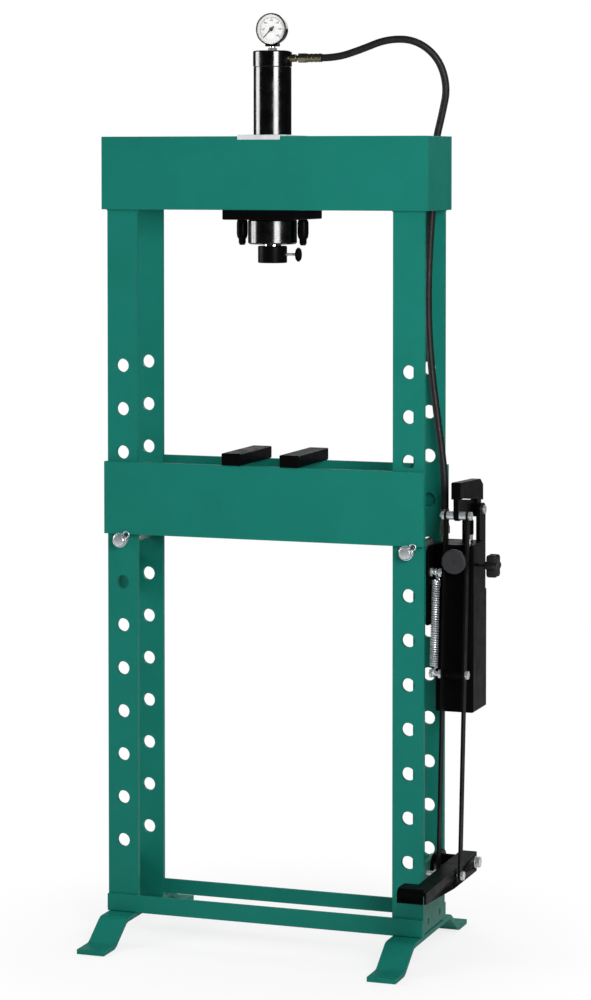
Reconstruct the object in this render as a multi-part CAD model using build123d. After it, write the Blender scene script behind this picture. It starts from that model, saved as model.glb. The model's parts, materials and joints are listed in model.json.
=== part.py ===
from build123d import *
import math
import os

# Foot-operated hydraulic shop press. Millimetres, +Z up, floor at Z = 0.
# The origin is on the floor, midway between the two columns and midway between their front and rear bars.
# +X points to the side that carries the pump, -Y is the operator's side.

os.makedirs("parts", exist_ok=True)

# ---------------------------------------------------------------- fits
touch_gap = 0.2          # between bodies that rest on each other
running_gap = 0.06       # radial, shaft in a bore

# ---------------------------------------------------------------- welded frame
column_spacing = 620.0   # centre to centre
bar_width = 66.0
bar_thickness = 10.0
frame_depth = 150.0      # over the front and rear bars
hole_pitch = 90.0
hole_count = 12
hole_diameter = 28.0
lowest_hole_z = 199.0
head_height = 150.0
head_bottom_z = 1512.0
head_plate_thickness = 10.0
head_end_thickness = 9.0
upright_below_head_top = 10.0
tie_thickness = 10.0
tie_height = 80.0
middle_tie_z = 740.0     # its middle
base_tie_gap = 6.0       # above the foot strap
tie_above_pedal = 13.0   # the right base tie carries the pedal bracket, so it stands above its bolt
base_hole_diameter = 13.0
base_hole_spacing = 80.0
base_hole_height = 20.0  # above the tie's lower edge
rail_thickness = 8.0
front_rail_height = 36.0
rear_rail_height = 30.0
rail_edge_radius = 3.0

# ---------------------------------------------------------------- feet
foot_width = 60.0
foot_thickness = 10.0
foot_length = 500.0
foot_rise = 40.0         # floor to the underside of the strap
foot_upper_bend = 128.0  # from the middle to the bend off the flat
foot_lower_bend = 190.0  # from the middle to the bend onto the floor
foot_bend_radius = 30.0

# ---------------------------------------------------------------- table and pins
table_overhang = 3.0     # beyond the bars' outer edges
table_height = 150.0
table_plate_thickness = 12.0
table_side_gap = 2.0     # beside the bars
spacer_thickness = 12.0
spacer_height = 110.0
spacer_from_middle = 215.0
pin_diameter = 25.0
pin_overhang = 12.0      # beyond the table plates
pin_chamfer = 1.5
pin_hole_row = 7         # counted up from the lowest hole, from 0
clip_wire = 2.6
clip_loop_diameter = 13.0
block_width = 42.0
block_depth = 188.0
block_height = 25.0
block_left_x = -63.0
block_right_x = 62.5
block_chamfer = 1.5

# ---------------------------------------------------------------- cylinder
cylinder_x = -6.4
tube_diameter = 78.0
tube_wall = 9.0
tube_bore = tube_diameter - 2 * tube_wall
cap_diameter = 80.0
cap_height = 33.5
cap_lip = 1.2
cylinder_top_z = 1837.5
guide_width = 92.0
guide_thickness = 10.0
guide_sunk = 7.0
guide_side_gap = 0.3
flange_width = 156.0
flange_depth = 172.0
flange_thickness = 20.0
gland_diameter = 101.0
gland_height = 51.0
gland_chamfer = 3.0
gland_spigot = 12.0
rod_diameter = 36.0
piston_height = 34.0
piston_top_gap = 8.0
piston_spigot = 14.0
seal_width = 6.0
seal_depth = 4.0
wiper_height = 7.0
wiper_width = 5.0
ram_cap_diameter = 60.0
ram_cap_height = 35.0
ram_cap_gap = 3.5        # below the gland
ram_socket_depth = 18.0
tool_bore_diameter = 20.0
tool_bore_depth = 12.0
thumb_stem_diameter = 6.0
thumb_disc_diameter = 29.0
thumb_disc_thickness = 7.0
thumb_disc_round = 2.5
thumb_reach = 23.0       # stem showing between cap and disc
return_wire = 5.0        # square wire
return_coil_diameter = 50.0
return_turns = 6

# ---------------------------------------------------------------- flange clamps
clamp_offset = 66.5      # either side of the cylinder
clamp_stud_diameter = 12.0
clamp_knob_diameter = 23.0
clamp_knob_height = 40.0
clamp_end_diameter = 15.0
clamp_end_height = 10.0
cross_bar_width = 30.0
cross_bar_height = 30.0
stud_in_bar = 24.0

# ---------------------------------------------------------------- gauge
gauge_diameter = 66.0
gauge_depth = 24.0
gauge_front_y = -11.0
gauge_centre_above_cap = 44.0
gauge_wall = 2.5
gauge_recess = 6.0
dial_thickness = 1.0
lens_thickness = 1.5
pointer_thickness = 0.8
pointer_length = 22.0
pointer_tail = 8.0
pointer_hub_radius = 3.2
pointer_rest_angle = -135.0  # from straight up, clockwise from the front
gauge_stem_diameter = 12.0
gauge_hex = 17.0
gauge_hex_height = 6.0

# ---------------------------------------------------------------- hose and fittings
hose_diameter = 15.0
ferrule_diameter = 18.0
ferrule_length = 33.0
ferrule_waist = 0.6
upper_fitting_z = 1822.0
lower_fitting_from_plate = 9.0
lower_fitting_y = 20.0
adapter_length = 12.0
adapter_diameter = 16.0
nut_across_flats = 19.0
nut_length = 16.0
neck_diameter = 11.0
neck_length = 6.0

# ---------------------------------------------------------------- pump
pump_plate_thickness = 6.0
pump_plate_front = -62.0
pump_plate_back = 72.0
pump_plate_below = 60.0  # under the body
pump_plate_corner = 20.0
body_below_bolts = 20.0
body_height = 99.0
body_front = -18.0
body_back = 76.0
body_beside = 27.5       # from the linkage's middle to the body's outer side
body_edge = 4.0
tank_height = 240.0
tank_back = 84.0
tank_wall = 3.0
tank_edge = 5.0
tank_low_edge = 2.0
cheek_thickness = 8.0
cheek_gap = 1.2          # beside the rocker
cheek_front = 60.0
cheek_back = 104.0
cheek_height = 75.0
cheek_root = 20.0        # sunk in the body
cheek_corner = 14.0
plunger_diameter = 15.0
plunger_y = 48.0
plunger_inside = 40.0    # in the body at rest
plunger_bore_spare = 28.0
plunger_head_diameter = 18.0
plunger_head_above = 14.0  # bright rod showing below the head
plunger_tip_radius = 8.0
filler_below_top = 28.0
filler_diameter = 50.0
filler_thickness = 7.0
filler_round = 3.5
filler_plug_diameter = 20.0
filler_plug_length = 14.0
filler_dimple = 5.0
filler_dimple_depth = 3.0
spout_diameter = 32.0
spout_seat = 8.0         # screwed into the body
spout_clear = 2.0        # cap ahead of the straps
release_y = 20.0
release_below_top = 44.0
release_stem_diameter = 6.0
release_stem_length = 20.0
release_seat = 14.0      # valve stem in the body
release_hub_diameter = 16.0
release_hub_length = 6.0
release_knob_diameter = 51.0
release_lobe_diameter = 14.0
release_knob_thickness = 22.0
release_lobes = 6
pump_bolt_diameter = 10.0
pump_bolt_front = -29.0
pump_bolt_back = 32.0
pump_bolt_depth = 22.0   # into the body
anchor_y = -47.0
anchor_below_top = 53.0
anchor_reach = 24.0

# ---------------------------------------------------------------- rocker, straps and pedal
linkage_beside = 55.5    # from the table's end to the linkage's middle
rocker_pivot_y = 88.0
rocker_pivot_above = 61.0  # these heights are above the pump body
strap_top_y = -40.0
strap_top_above = 62.0
rocker_front_above = 129.0
rocker_back_above = 123.0
rocker_low_above = 51.0
pedal_pivot_y = 38.0
pedal_pivot_z = 185.0
strap_low_y = -90.0
strap_low_above = 1.0    # these heights are above the pedal's pivot
rocker_width = 19.0
rocker_web = 10.0
rocker_back = 118.0
rocker_block_height = 34.0
rocker_heel_depth = 45.0
rocker_slope = 25.0      # length of the block's undercut nose
rocker_back_slope = 20.0 # length and drop of the block's sloped back corner
rocker_back_drop = 13.0
rocker_web_inset = 18.0  # web's back edge from the block's
rocker_web_end = 8.0     # web's low corner from the pivot
web_lap = 1.0
lug_lap = 3.0
rocker_shank_radius = 10.0
rocker_lug_radius = 15.0
rocker_pin_slack = 1.2   # radial, the open pivot of the linkage
strap_gap = 41.0         # between the two straps
strap_thickness = 4.0
strap_width = 20.0
strap_bolt_diameter = 10.0
pivot_diameter = 12.0
pivot_head_diameter = 18.0
pivot_head_thickness = 4.0
cross_bolt_z = 584.0
cross_bolt_end = 8.0     # beyond the spring
foot_bolt_end = 22.0     # beyond the left strap
spacer_tube_diameter = 16.0
top_spacer_diameter = 17.0
spring_from_plate = 11.0
spring_diameter = 17.5
spring_wire = 3.4
spring_hook = 8.0
lever_width = 34.0
lever_wall = 4.0
lever_top_above = 19.0
lever_front_above = 14.0
lever_low_below = 21.0
lever_front_below = 8.0
lever_back = 50.0
lever_taper_y = -112.0
pad_front = -310.0
pad_back = -262.0
pad_width = 52.0
pad_top_above = 20.0
pad_thickness = 6.5
pad_lip_thickness = 5.0
pad_inset = 5.5          # from the lever's outer side
pad_lip_height = 28.0
pad_teeth = 9
pad_tooth_depth = 2.5
pedal_plate_thickness = 8.0
pedal_plate_front = -30.0
pedal_plate_back = 62.0
pedal_plate_below = 65.0
pedal_plate_above = 21.0
pedal_plate_corner = 24.0
pedal_boss_diameter = 24.0
pedal_washer_diameter = 24.0
pedal_washer_thickness = 2.0
pedal_head_width = 20.0
pedal_head_length = 9.0

# ---------------------------------------------------------------- places worked out from the sizes
column_x = column_spacing / 2
column_edge = column_x + bar_width / 2
half_depth = frame_depth / 2
inner_depth = half_depth - bar_thickness
strap_top = foot_rise + foot_thickness
base_tie_low = strap_top + base_tie_gap
rail_top = strap_top + front_rail_height
head_top = head_bottom_z + head_height
head_half_length = column_edge + head_end_thickness
head_face = half_depth + head_plate_thickness
upright_top = head_top - upright_below_head_top
hole_heights = [lowest_hole_z + hole_pitch * row for row in range(hole_count)]
pin_z = hole_heights[pin_hole_row] - (hole_diameter - pin_diameter) / 2 + touch_gap
table_low = pin_z + pin_diameter / 2 + touch_gap
table_top = table_low + table_height
table_inner = half_depth + table_side_gap
table_face = table_inner + table_plate_thickness
table_end = column_edge + table_overhang
pin_length = 2 * (table_face + pin_overhang)
cap_low = cylinder_top_z - cap_height
flange_low = head_bottom_z - flange_thickness
gland_low = flange_low - gland_height
ram_cap_top = gland_low - ram_cap_gap
ram_cap_low = ram_cap_top - ram_cap_height
piston_top = cap_low - piston_top_gap
piston_low = piston_top - piston_height
gauge_z = cylinder_top_z + gauge_centre_above_cap
pump_plate_x = column_edge + pump_plate_thickness
pump_bolt_z = middle_tie_z + tie_height / 4
body_low = pump_bolt_z - body_below_bolts
body_top_z = body_low + body_height
tank_low = body_low - tank_height
linkage_x = table_end + linkage_beside
body_right = linkage_x + body_beside
lower_fitting_x = pump_plate_x + lower_fitting_from_plate
spring_x = pump_plate_x + spring_from_plate
rocker_pivot_z = body_top_z + rocker_pivot_above
rocker_front_top = body_top_z + rocker_front_above
rocker_back_top = body_top_z + rocker_back_above
rocker_web_low = body_top_z + rocker_low_above
strap_top_z = body_top_z + strap_top_above
strap_low_z = pedal_pivot_z + strap_low_above
lever_top_z = pedal_pivot_z + lever_top_above
lever_front_top_z = pedal_pivot_z + lever_front_above
lever_low_z = pedal_pivot_z - lever_low_below
lever_front_low_z = pedal_pivot_z - lever_front_below
pad_top_z = pedal_pivot_z + pad_top_above
right_tie_height = pedal_pivot_z + tie_above_pedal - base_tie_low
anchor_z = body_top_z - anchor_below_top
release_z = body_top_z - release_below_top
filler_z = body_top_z - filler_below_top
left_strap_x = linkage_x - strap_gap / 2 - strap_thickness / 2
right_strap_x = linkage_x + strap_gap / 2 + strap_thickness / 2
outer_strap_left = left_strap_x - strap_thickness / 2
outer_strap_right = right_strap_x + strap_thickness / 2
strap_lean = (strap_top_y - strap_low_y) / (strap_top_z - strap_low_z)
cross_bolt_y = strap_low_y + strap_lean * (cross_bolt_z - strap_low_z)
spout_front = (strap_low_y + strap_lean * (filler_z - filler_diameter / 2 - strap_low_z)
               - strap_width / 2 - spout_clear)
pedal_boss_right = linkage_x - lever_width / 2 - touch_gap
pedal_plate_x = column_edge + pedal_plate_thickness


# ---------------------------------------------------------------- plain shapes
def block(x0, x1, y0, y1, z0, z1):
    """A box between two corners."""
    return Pos((x0 + x1) / 2, (y0 + y1) / 2, (z0 + z1) / 2) * Box(x1 - x0, y1 - y0, z1 - z0)


def rod_x(x0, x1, y, z, diameter):
    return Pos((x0 + x1) / 2, y, z) * Rot(0, 90, 0) * Cylinder(diameter / 2, x1 - x0)


def rod_y(x, y0, y1, z, diameter):
    return Pos(x, (y0 + y1) / 2, z) * Rot(90, 0, 0) * Cylinder(diameter / 2, y1 - y0)


def rod_z(x, y, z0, z1, diameter):
    return Pos(x, y, (z0 + z1) / 2) * Cylinder(diameter / 2, z1 - z0)


def hexagon_x(x0, x1, y, z, across_flats):
    where = Plane((x0, y, z), x_dir=(0, 1, 0), z_dir=(1, 0, 0))
    return extrude(where * RegularPolygon(across_flats / 2, 6, major_radius=False), x1 - x0)


def hexagon_z(x, y, z0, z1, across_flats):
    face = Plane((x, y, z0)) * RegularPolygon(across_flats / 2, 6, major_radius=False)
    return extrude(face, z1 - z0)


def plate_x(x0, x1, outline):
    """A plate facing X, from an outline of (y, z) points."""
    face = Plane((x0, 0, 0), x_dir=(0, 1, 0), z_dir=(1, 0, 0)) * make_face(Polyline(*outline, close=True))
    return extrude(face, x1 - x0)


def bolt_x(head_x, shank_end_x, y, z, diameter, nut_x=None):
    """A hexagon bolt along X: its head starts at head_x, away from the shank, and a nut is optional."""
    way = 1 if shank_end_x < head_x else -1
    across = 1.6 * diameter
    head = 0.65 * diameter
    low, high = sorted((head_x, head_x + way * head))
    solid = hexagon_x(low, high, y, z, across)
    low, high = sorted((shank_end_x, head_x))
    solid += rod_x(low, high, y, z, diameter)
    if nut_x is not None:
        low, high = sorted((nut_x, nut_x - way * head))
        solid += hexagon_x(low, high, y, z, across)
    return solid


def both_sides(make):
    """The same piece on the left (-1) and on the right (+1)."""
    return Compound(children=[make(-1), make(1)])


# ---------------------------------------------------------------- frame
def upright(side, y_low):
    x = side * column_x
    bar = block(x - bar_width / 2, x + bar_width / 2, y_low, y_low + bar_thickness, strap_top, upright_top)
    for z in hole_heights:
        bar -= rod_y(x, y_low - 1, y_low + bar_thickness + 1, z, hole_diameter)
    return bar


def head_plate(y_low):
    plate = block(-head_half_length, head_half_length, y_low, y_low + head_plate_thickness,
                  head_bottom_z, head_top)
    half_notch = guide_width / 2 + guide_side_gap
    return plate - block(
        cylinder_x - half_notch, cylinder_x + half_notch,
        y_low - 1, y_low + head_plate_thickness + 1,
        head_top - guide_sunk, head_top + 1,
    )


def head_end(side):
    low, high = sorted((side * column_edge, side * head_half_length))
    return block(low, high, -half_depth, half_depth, head_bottom_z, head_top)


def base_rail(side, height):
    """A flat bar across the outside of both columns; its lower outer edge is rounded."""
    low, high = sorted((side * half_depth, side * (half_depth + rail_thickness)))
    rail = block(-column_edge, column_edge, low, high, rail_top - height, rail_top)
    outer = rail.faces().sort_by(Axis.Y)[-1 if side > 0 else 0]
    return fillet(outer.edges().sort_by(Axis.Z)[0], rail_edge_radius)


def foot(side):
    """A flat bar bent down and out again at both ends."""
    flat = foot_rise + foot_thickness / 2
    floor = foot_thickness / 2
    points = [(-foot_length / 2, floor), (-foot_lower_bend, floor), (-foot_upper_bend, flat)]
    points += [(-y, z) for y, z in reversed(points)]
    path = FilletPolyline(*[(side * column_x, y, z) for y, z in points], radius=foot_bend_radius)
    section = Plane(origin=path @ 0, x_dir=(1, 0, 0), z_dir=path % 0) * Rectangle(foot_width, foot_thickness)
    return sweep(section, path=path)


def tie(side, z_low, height):
    low, high = sorted((side * column_edge, side * (column_edge - tie_thickness)))
    return block(low, high, -inner_depth, inner_depth, z_low, z_low + height)


def right_base_tie():
    plate = tie(1, base_tie_low, right_tie_height)
    for y in (-base_hole_spacing / 2, base_hole_spacing / 2):
        plate -= rod_x(column_edge - tie_thickness - 1, column_edge + 1, y, base_tie_low + base_hole_height,
                       base_hole_diameter)
    return plate - rod_x(column_edge - tie_thickness - 1, column_edge + 1, pedal_pivot_y, pedal_pivot_z,
                         pivot_diameter + 1)


def middle_tie(side):
    plate = tie(side, middle_tie_z - tie_height / 2, tie_height)
    if side > 0:
        for y in (pump_bolt_front, pump_bolt_back):
            plate -= rod_x(column_edge - tie_thickness - 1, column_edge + 1, y, pump_bolt_z,
                           pump_bolt_diameter + 1)
    return plate


# ---------------------------------------------------------------- cylinder group
def guide_plate():
    plate = block(cylinder_x - guide_width / 2, cylinder_x + guide_width / 2, -head_face, head_face,
                  head_top - guide_sunk, head_top - guide_sunk + guide_thickness)
    return plate - rod_z(cylinder_x, 0, head_top - guide_sunk - 1, head_top + guide_thickness,
                         tube_diameter + 1)


def flange_plate():
    plate = block(cylinder_x - flange_width / 2, cylinder_x + flange_width / 2,
                  -flange_depth / 2, flange_depth / 2, flange_low, head_bottom_z)
    plate = chamfer(plate.faces().sort_by(Axis.Z)[0].edges(), 1.5)
    plate -= rod_z(cylinder_x, 0, flange_low - 1, head_bottom_z + 1, tube_diameter)
    for side in (-1, 1):
        plate -= rod_z(cylinder_x + side * clamp_offset, 0, flange_low - 1, head_bottom_z + 1,
                       clamp_stud_diameter + 1)
    return plate


def cross_bar(side):
    """A block welded between the head plates, tapped for a flange stud."""
    x = cylinder_x + side * clamp_offset
    bar = block(x - cross_bar_width / 2, x + cross_bar_width / 2, -half_depth, half_depth,
                head_bottom_z, head_bottom_z + cross_bar_height)
    bar -= rod_z(x, 0, head_bottom_z - 1, head_bottom_z + stud_in_bar, clamp_stud_diameter)
    return bar - rod_z(cylinder_x, 0, head_bottom_z - 1, head_top, tube_diameter + 1)


def clamp_stud(side):
    x = cylinder_x + side * clamp_offset
    low = flange_low - touch_gap - clamp_knob_height - clamp_end_height - 3
    stud = rod_z(x, 0, low, head_bottom_z + stud_in_bar, clamp_stud_diameter)
    return chamfer(stud.edges().sort_by(Axis.Z)[0], 1)


def clamp_knob(side):
    """A barrel nut with crowned shoulders and a smaller end."""
    top = flange_low - touch_gap
    low = top - clamp_knob_height
    radius = clamp_knob_diameter / 2
    end = clamp_end_diameter / 2
    bore = clamp_stud_diameter / 2 + running_gap
    outline = Polyline((bore, top), (radius - 3, top), (radius, top - 6), (radius, low + 10),
                       (radius - 3, low), (end, low), (end, low - clamp_end_height + 1),
                       (end - 1, low - clamp_end_height), (bore, low - clamp_end_height), close=True)
    profile = Plane.XZ * make_face(outline)
    return Pos(cylinder_x + side * clamp_offset, 0, 0) * revolve(profile, Axis.Z)


def cylinder_tube():
    """Steel tube; its lower end stands in the flange plate on the gland."""
    return (rod_z(cylinder_x, 0, flange_low, cap_low, tube_diameter)
            - rod_z(cylinder_x, 0, flange_low - 1, cap_low + 1, tube_bore))


def cylinder_cap():
    """Closed top with a turned groove above the joint, a spigot in the tube and ports for hose and gauge."""
    cap = rod_z(cylinder_x, 0, cap_low + cap_lip, cylinder_top_z, cap_diameter)
    cap = fillet(cap.edges().sort_by(Axis.Z)[-1], 3)
    cap += rod_z(cylinder_x, 0, cap_low, cap_low + cap_lip, tube_diameter - 2)
    cap += rod_z(cylinder_x, 0, cap_low - 5, cap_low, tube_bore)
    cap -= rod_z(cylinder_x, 0, cap_low - 6, upper_fitting_z, 5)
    cap -= rod_x(cylinder_x, cylinder_x + cap_diameter, 0, upper_fitting_z, 5)
    return cap - rod_z(cylinder_x, 0, upper_fitting_z, cylinder_top_z + 1, 5)


def cylinder_gland():
    """Lower ring with the rod bore, a wiper seat and a spigot up into the tube."""
    ring = rod_z(cylinder_x, 0, gland_low, flange_low, gland_diameter)
    ring = chamfer(ring.edges().filter_by(GeomType.CIRCLE), gland_chamfer)
    ring += rod_z(cylinder_x, 0, flange_low, flange_low + gland_spigot, tube_bore)
    ring -= rod_z(cylinder_x, 0, gland_low - 1, flange_low + gland_spigot + 1,
                  rod_diameter + 2 * running_gap)
    return ring - rod_z(cylinder_x, 0, gland_low - 1, gland_low + wiper_height,
                        rod_diameter + 2 * wiper_width)


def gland_wiper():
    """Rubber ring in the gland's mouth, its lip just clear of the rod."""
    bore = rod_diameter / 2 + running_gap
    outer = rod_diameter / 2 + wiper_width
    top = gland_low + wiper_height
    outline = Polyline((outer, top), (bore + 2, top), (bore, gland_low + 1), (bore + 1, gland_low),
                       (outer, gland_low), close=True)
    return Pos(cylinder_x, 0, 0) * revolve(Plane.XZ * make_face(outline), Axis.Z)


def piston():
    body = rod_z(cylinder_x, 0, piston_low, piston_top, tube_bore - 2 * running_gap)
    body = chamfer(body.edges().sort_by(Axis.Z)[-1], 2)
    middle = (piston_low + piston_top) / 2
    groove = (rod_z(cylinder_x, 0, middle - seal_width / 2, middle + seal_width / 2, tube_bore + 1)
              - rod_z(cylinder_x, 0, middle - seal_width, middle + seal_width, tube_bore - 2 * seal_depth))
    return body - groove - rod_z(cylinder_x, 0, piston_low - 1, piston_low + piston_spigot, rod_diameter - 8)


def piston_seal():
    middle = (piston_low + piston_top) / 2
    ring = rod_z(cylinder_x, 0, middle - seal_width / 2, middle + seal_width / 2,
                 tube_bore - 2 * running_gap)
    return ring - rod_z(cylinder_x, 0, middle - seal_width, middle + seal_width, tube_bore - 2 * seal_depth)


def piston_rod():
    rod = rod_z(cylinder_x, 0, ram_cap_top - ram_socket_depth, piston_low, rod_diameter)
    return rod + rod_z(cylinder_x, 0, piston_low, piston_low + piston_spigot, rod_diameter - 8)


def coil(x, y, z_low, z_high, mean_diameter, wire, turns):
    """A square wire wound about a vertical axis."""
    height = z_high - z_low - wire
    helix = Pos(x, y, z_low + wire / 2) * Helix(height / turns, height, mean_diameter / 2)
    section = Plane(origin=helix @ 0, z_dir=helix % 0) * Rectangle(0.8 * wire, 0.8 * wire)
    return sweep(section, path=helix, is_frenet=True)


def return_spring():
    return coil(cylinder_x, 0, flange_low + gland_spigot, piston_low - touch_gap,
                return_coil_diameter, return_wire, return_turns)


def ram_cap():
    """Round shoe on the rod with a blind bore for tools and a tapped side hole."""
    cap = rod_z(cylinder_x, 0, ram_cap_low, ram_cap_top, ram_cap_diameter)
    cap = chamfer(cap.edges().filter_by(GeomType.CIRCLE), 1.5)
    cap -= rod_z(cylinder_x, 0, ram_cap_top - ram_socket_depth, ram_cap_top + 1, rod_diameter)
    cap -= rod_z(cylinder_x, 0, ram_cap_low - 1, ram_cap_low + tool_bore_depth, tool_bore_diameter)
    middle = (ram_cap_low + ram_cap_top) / 2
    return cap - rod_x(cylinder_x + rod_diameter / 2 + 1, cylinder_x + ram_cap_diameter, 0, middle,
                       thumb_stem_diameter + 2 * running_gap)


def thumbscrew():
    middle = (ram_cap_low + ram_cap_top) / 2
    start = cylinder_x + rod_diameter / 2 + 2
    disc = cylinder_x + ram_cap_diameter / 2 + thumb_reach
    screw = rod_x(start, disc, 0, middle, thumb_stem_diameter)
    knob = rod_x(disc, disc + thumb_disc_thickness, 0, middle, thumb_disc_diameter)
    return screw + fillet(knob.edges().filter_by(GeomType.CIRCLE), thumb_disc_round)


# ---------------------------------------------------------------- gauge
def gauge_profile(radius, y):
    return rod_y(cylinder_x, y[0], y[1], gauge_z, 2 * radius)


def gauge_case():
    """Cup with a rolled front bezel, open to the dial, and a boss for the stem below."""
    radius = gauge_diameter / 2
    back = gauge_front_y + gauge_depth
    case = gauge_profile(radius, (gauge_front_y, gauge_front_y + 9))
    case = fillet(case.edges().filter_by(GeomType.CIRCLE), 2)
    case += gauge_profile(radius - 2.5, (gauge_front_y + 6, back))
    case = fillet(case.faces().sort_by(Axis.Y)[-1].edges(), 3)
    case += block(cylinder_x - 13, cylinder_x + 13, gauge_front_y + 3, back - 4,
                  gauge_z - radius - 2, gauge_z - radius + 8)
    return case - gauge_profile(radius - gauge_wall, (gauge_front_y - 1, gauge_front_y + gauge_recess))


def gauge_dial():
    low = gauge_front_y + gauge_recess - dial_thickness
    return gauge_profile(gauge_diameter / 2 - gauge_wall, (low, gauge_front_y + gauge_recess))


def gauge_lens():
    low = gauge_front_y + 0.5
    return gauge_profile(gauge_diameter / 2 - gauge_wall, (low, low + lens_thickness))


def gauge_pointer():
    """A tapered hand with a round tail and a hub."""
    low = gauge_front_y + lens_thickness + 1.2
    hand = Polyline((-1.4, 0), (-0.4, pointer_length), (0.4, pointer_length), (1.4, 0), (1.8, -pointer_tail),
                    (-1.8, -pointer_tail), close=True)
    where = Plane((cylinder_x, low, gauge_z), x_dir=(1, 0, 0), z_dir=(0, -1, 0))
    face = where * Rot(0, 0, -pointer_rest_angle) * (make_face(hand) + Circle(pointer_hub_radius))
    return extrude(face, -pointer_thickness)


def gauge_stem():
    low = cylinder_top_z
    high = gauge_z - gauge_diameter / 2 - 2
    stem = rod_z(cylinder_x, 0, low, high, gauge_stem_diameter)
    return stem + hexagon_z(cylinder_x, 0, low, low + gauge_hex_height, gauge_hex)


# ---------------------------------------------------------------- hose and fittings
def fitting_pieces(start, length_sign, axis):
    """Adapter, neck and nut of one hose end, along X or Z from its seat."""
    spans = []
    at = start
    for name, length in (("adapter", adapter_length), ("neck", neck_length), ("nut", nut_length)):
        spans.append((name, at, at + length_sign * length))
        at += length_sign * length
    solid = None
    for name, a, b in spans:
        low, high = sorted((a, b))
        if axis == "x":
            shapes = {"adapter": lambda: rod_x(low, high, 0, upper_fitting_z, adapter_diameter),
                      "neck": lambda: rod_x(low, high, 0, upper_fitting_z, neck_diameter),
                      "nut": lambda: hexagon_x(low, high, 0, upper_fitting_z, nut_across_flats)}
        else:
            where = (lower_fitting_x, lower_fitting_y)
            shapes = {"adapter": lambda: rod_z(*where, low, high, adapter_diameter),
                      "neck": lambda: rod_z(*where, low, high, neck_diameter),
                      "nut": lambda: hexagon_z(*where, low, high, nut_across_flats)}
        solid = shapes[name]() if solid is None else solid + shapes[name]()
    return solid


fitting_length = adapter_length + neck_length + nut_length
upper_seat_x = cylinder_x + cap_diameter / 2
upper_ferrule_x = upper_seat_x + fitting_length
upper_hose_x = upper_ferrule_x + ferrule_length
lower_ferrule_z = body_top_z + fitting_length
lower_hose_z = lower_ferrule_z + ferrule_length


def upper_fitting():
    seat = upper_seat_x - 1.0
    solid = fitting_pieces(upper_seat_x, 1, "x")
    solid += rod_x(seat, upper_seat_x, 0, upper_fitting_z, adapter_diameter)
    return solid - rod_z(cylinder_x, 0, upper_fitting_z - adapter_diameter,
                         upper_fitting_z + adapter_diameter, cap_diameter)


def lower_fitting():
    return fitting_pieces(body_top_z, 1, "z")


def ferrule(axis):
    """A crimped sleeve: three shallow waists between full-size bands."""
    start = upper_ferrule_x if axis == "x" else lower_ferrule_z

    def sleeve(low, high, diameter):
        if axis == "x":
            return rod_x(low, high, 0, upper_fitting_z, diameter)
        return rod_z(lower_fitting_x, lower_fitting_y, low, high, diameter)

    body = sleeve(start, start + ferrule_length, ferrule_diameter)
    for step in range(3):
        low = start + 5 + step * 9
        waist = sleeve(low, low + 4, ferrule_diameter - 2 * ferrule_waist)
        body -= sleeve(low, low + 4, ferrule_diameter + 2) - waist
    return body


hose_points = [
    (upper_hose_x, 0, upper_fitting_z),
    (133, 0, upper_fitting_z),
    (182, 2, 1837),
    (238, 8, 1859),
    (296, 18, 1857),
    (340, 32, 1820),
    (355, 43, 1762),
    (342, 50, 1708),
    (326, 51, 1645),
    (324, 48, 1545),
    (316, 45, 1420),
    (314, 44, 1300),
    (322, 42, 1190),
    (337, 36, 1090),
    (351, 27, 1010),
    (lower_fitting_x, lower_fitting_y, 960),
    (lower_fitting_x, lower_fitting_y, lower_hose_z),
]


def corner_radii(points):
    """Each arc as large as its two runs allow: 0.45 of the shorter run over the tangent of half the turn."""
    radii = []
    for before, here, after in zip(points, points[1:], points[2:]):
        run_in = Vector(*here) - Vector(*before)
        run_out = Vector(*after) - Vector(*here)
        turn = math.radians(run_in.get_angle(run_out))
        radii.append(0.45 * min(run_in.length, run_out.length) / math.tan(turn / 2))
    return radii


def hose():
    radii = corner_radii(hose_points)
    path = FilletPolyline(*hose_points, radius=radii)
    section = Plane(origin=path @ 0, z_dir=path % 0) * Circle(hose_diameter / 2)
    tube = sweep(section, path=path)
    area = math.pi * hose_diameter ** 2 / 4
    print("hose length", round(path.length, 1), "volume over section", round(tube.volume / area, 1))
    print("hose radii", [round(r) for r in radii])
    return tube


# ---------------------------------------------------------------- table
def table_plate(side):
    low, high = sorted((side * table_inner, side * table_face))
    return block(-table_end, table_end, low, high, table_low, table_top)


def table_spacer(side):
    x = side * spacer_from_middle
    low = table_low + (table_height - spacer_height) / 2
    return block(x - spacer_thickness / 2, x + spacer_thickness / 2, -table_inner, table_inner,
                 low, low + spacer_height)


def table_pin(side):
    """A plain round pin with a spring clip through its front end."""
    x = side * column_x
    half = pin_length / 2
    pin = rod_y(x, -half, half, pin_z, pin_diameter)
    pin = chamfer(pin.edges().filter_by(GeomType.CIRCLE), pin_chamfer)
    clip_y = -table_face - clip_wire / 2 - 1.5
    ring_radius = pin_diameter / 2 + clip_wire / 2
    ring = Pos(x, clip_y, pin_z) * Rot(90, 0, 0) * Torus(ring_radius, clip_wire / 2)
    loop_reach = ring_radius + clip_loop_diameter / 2 - clip_wire / 2
    reach = loop_reach * math.cos(math.radians(40))
    lift = loop_reach * math.sin(math.radians(40))
    loop = Rot(90, 0, 0) * Torus(clip_loop_diameter / 2, clip_wire / 2)
    loop = Pos(x + reach, clip_y, pin_z + lift) * loop
    return pin, ring + loop - pin


def press_block(x):
    bar = block(x - block_width / 2, x + block_width / 2, -block_depth / 2, block_depth / 2,
                table_top + touch_gap, table_top + touch_gap + block_height)
    return chamfer(bar.edges(), block_chamfer)


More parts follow.
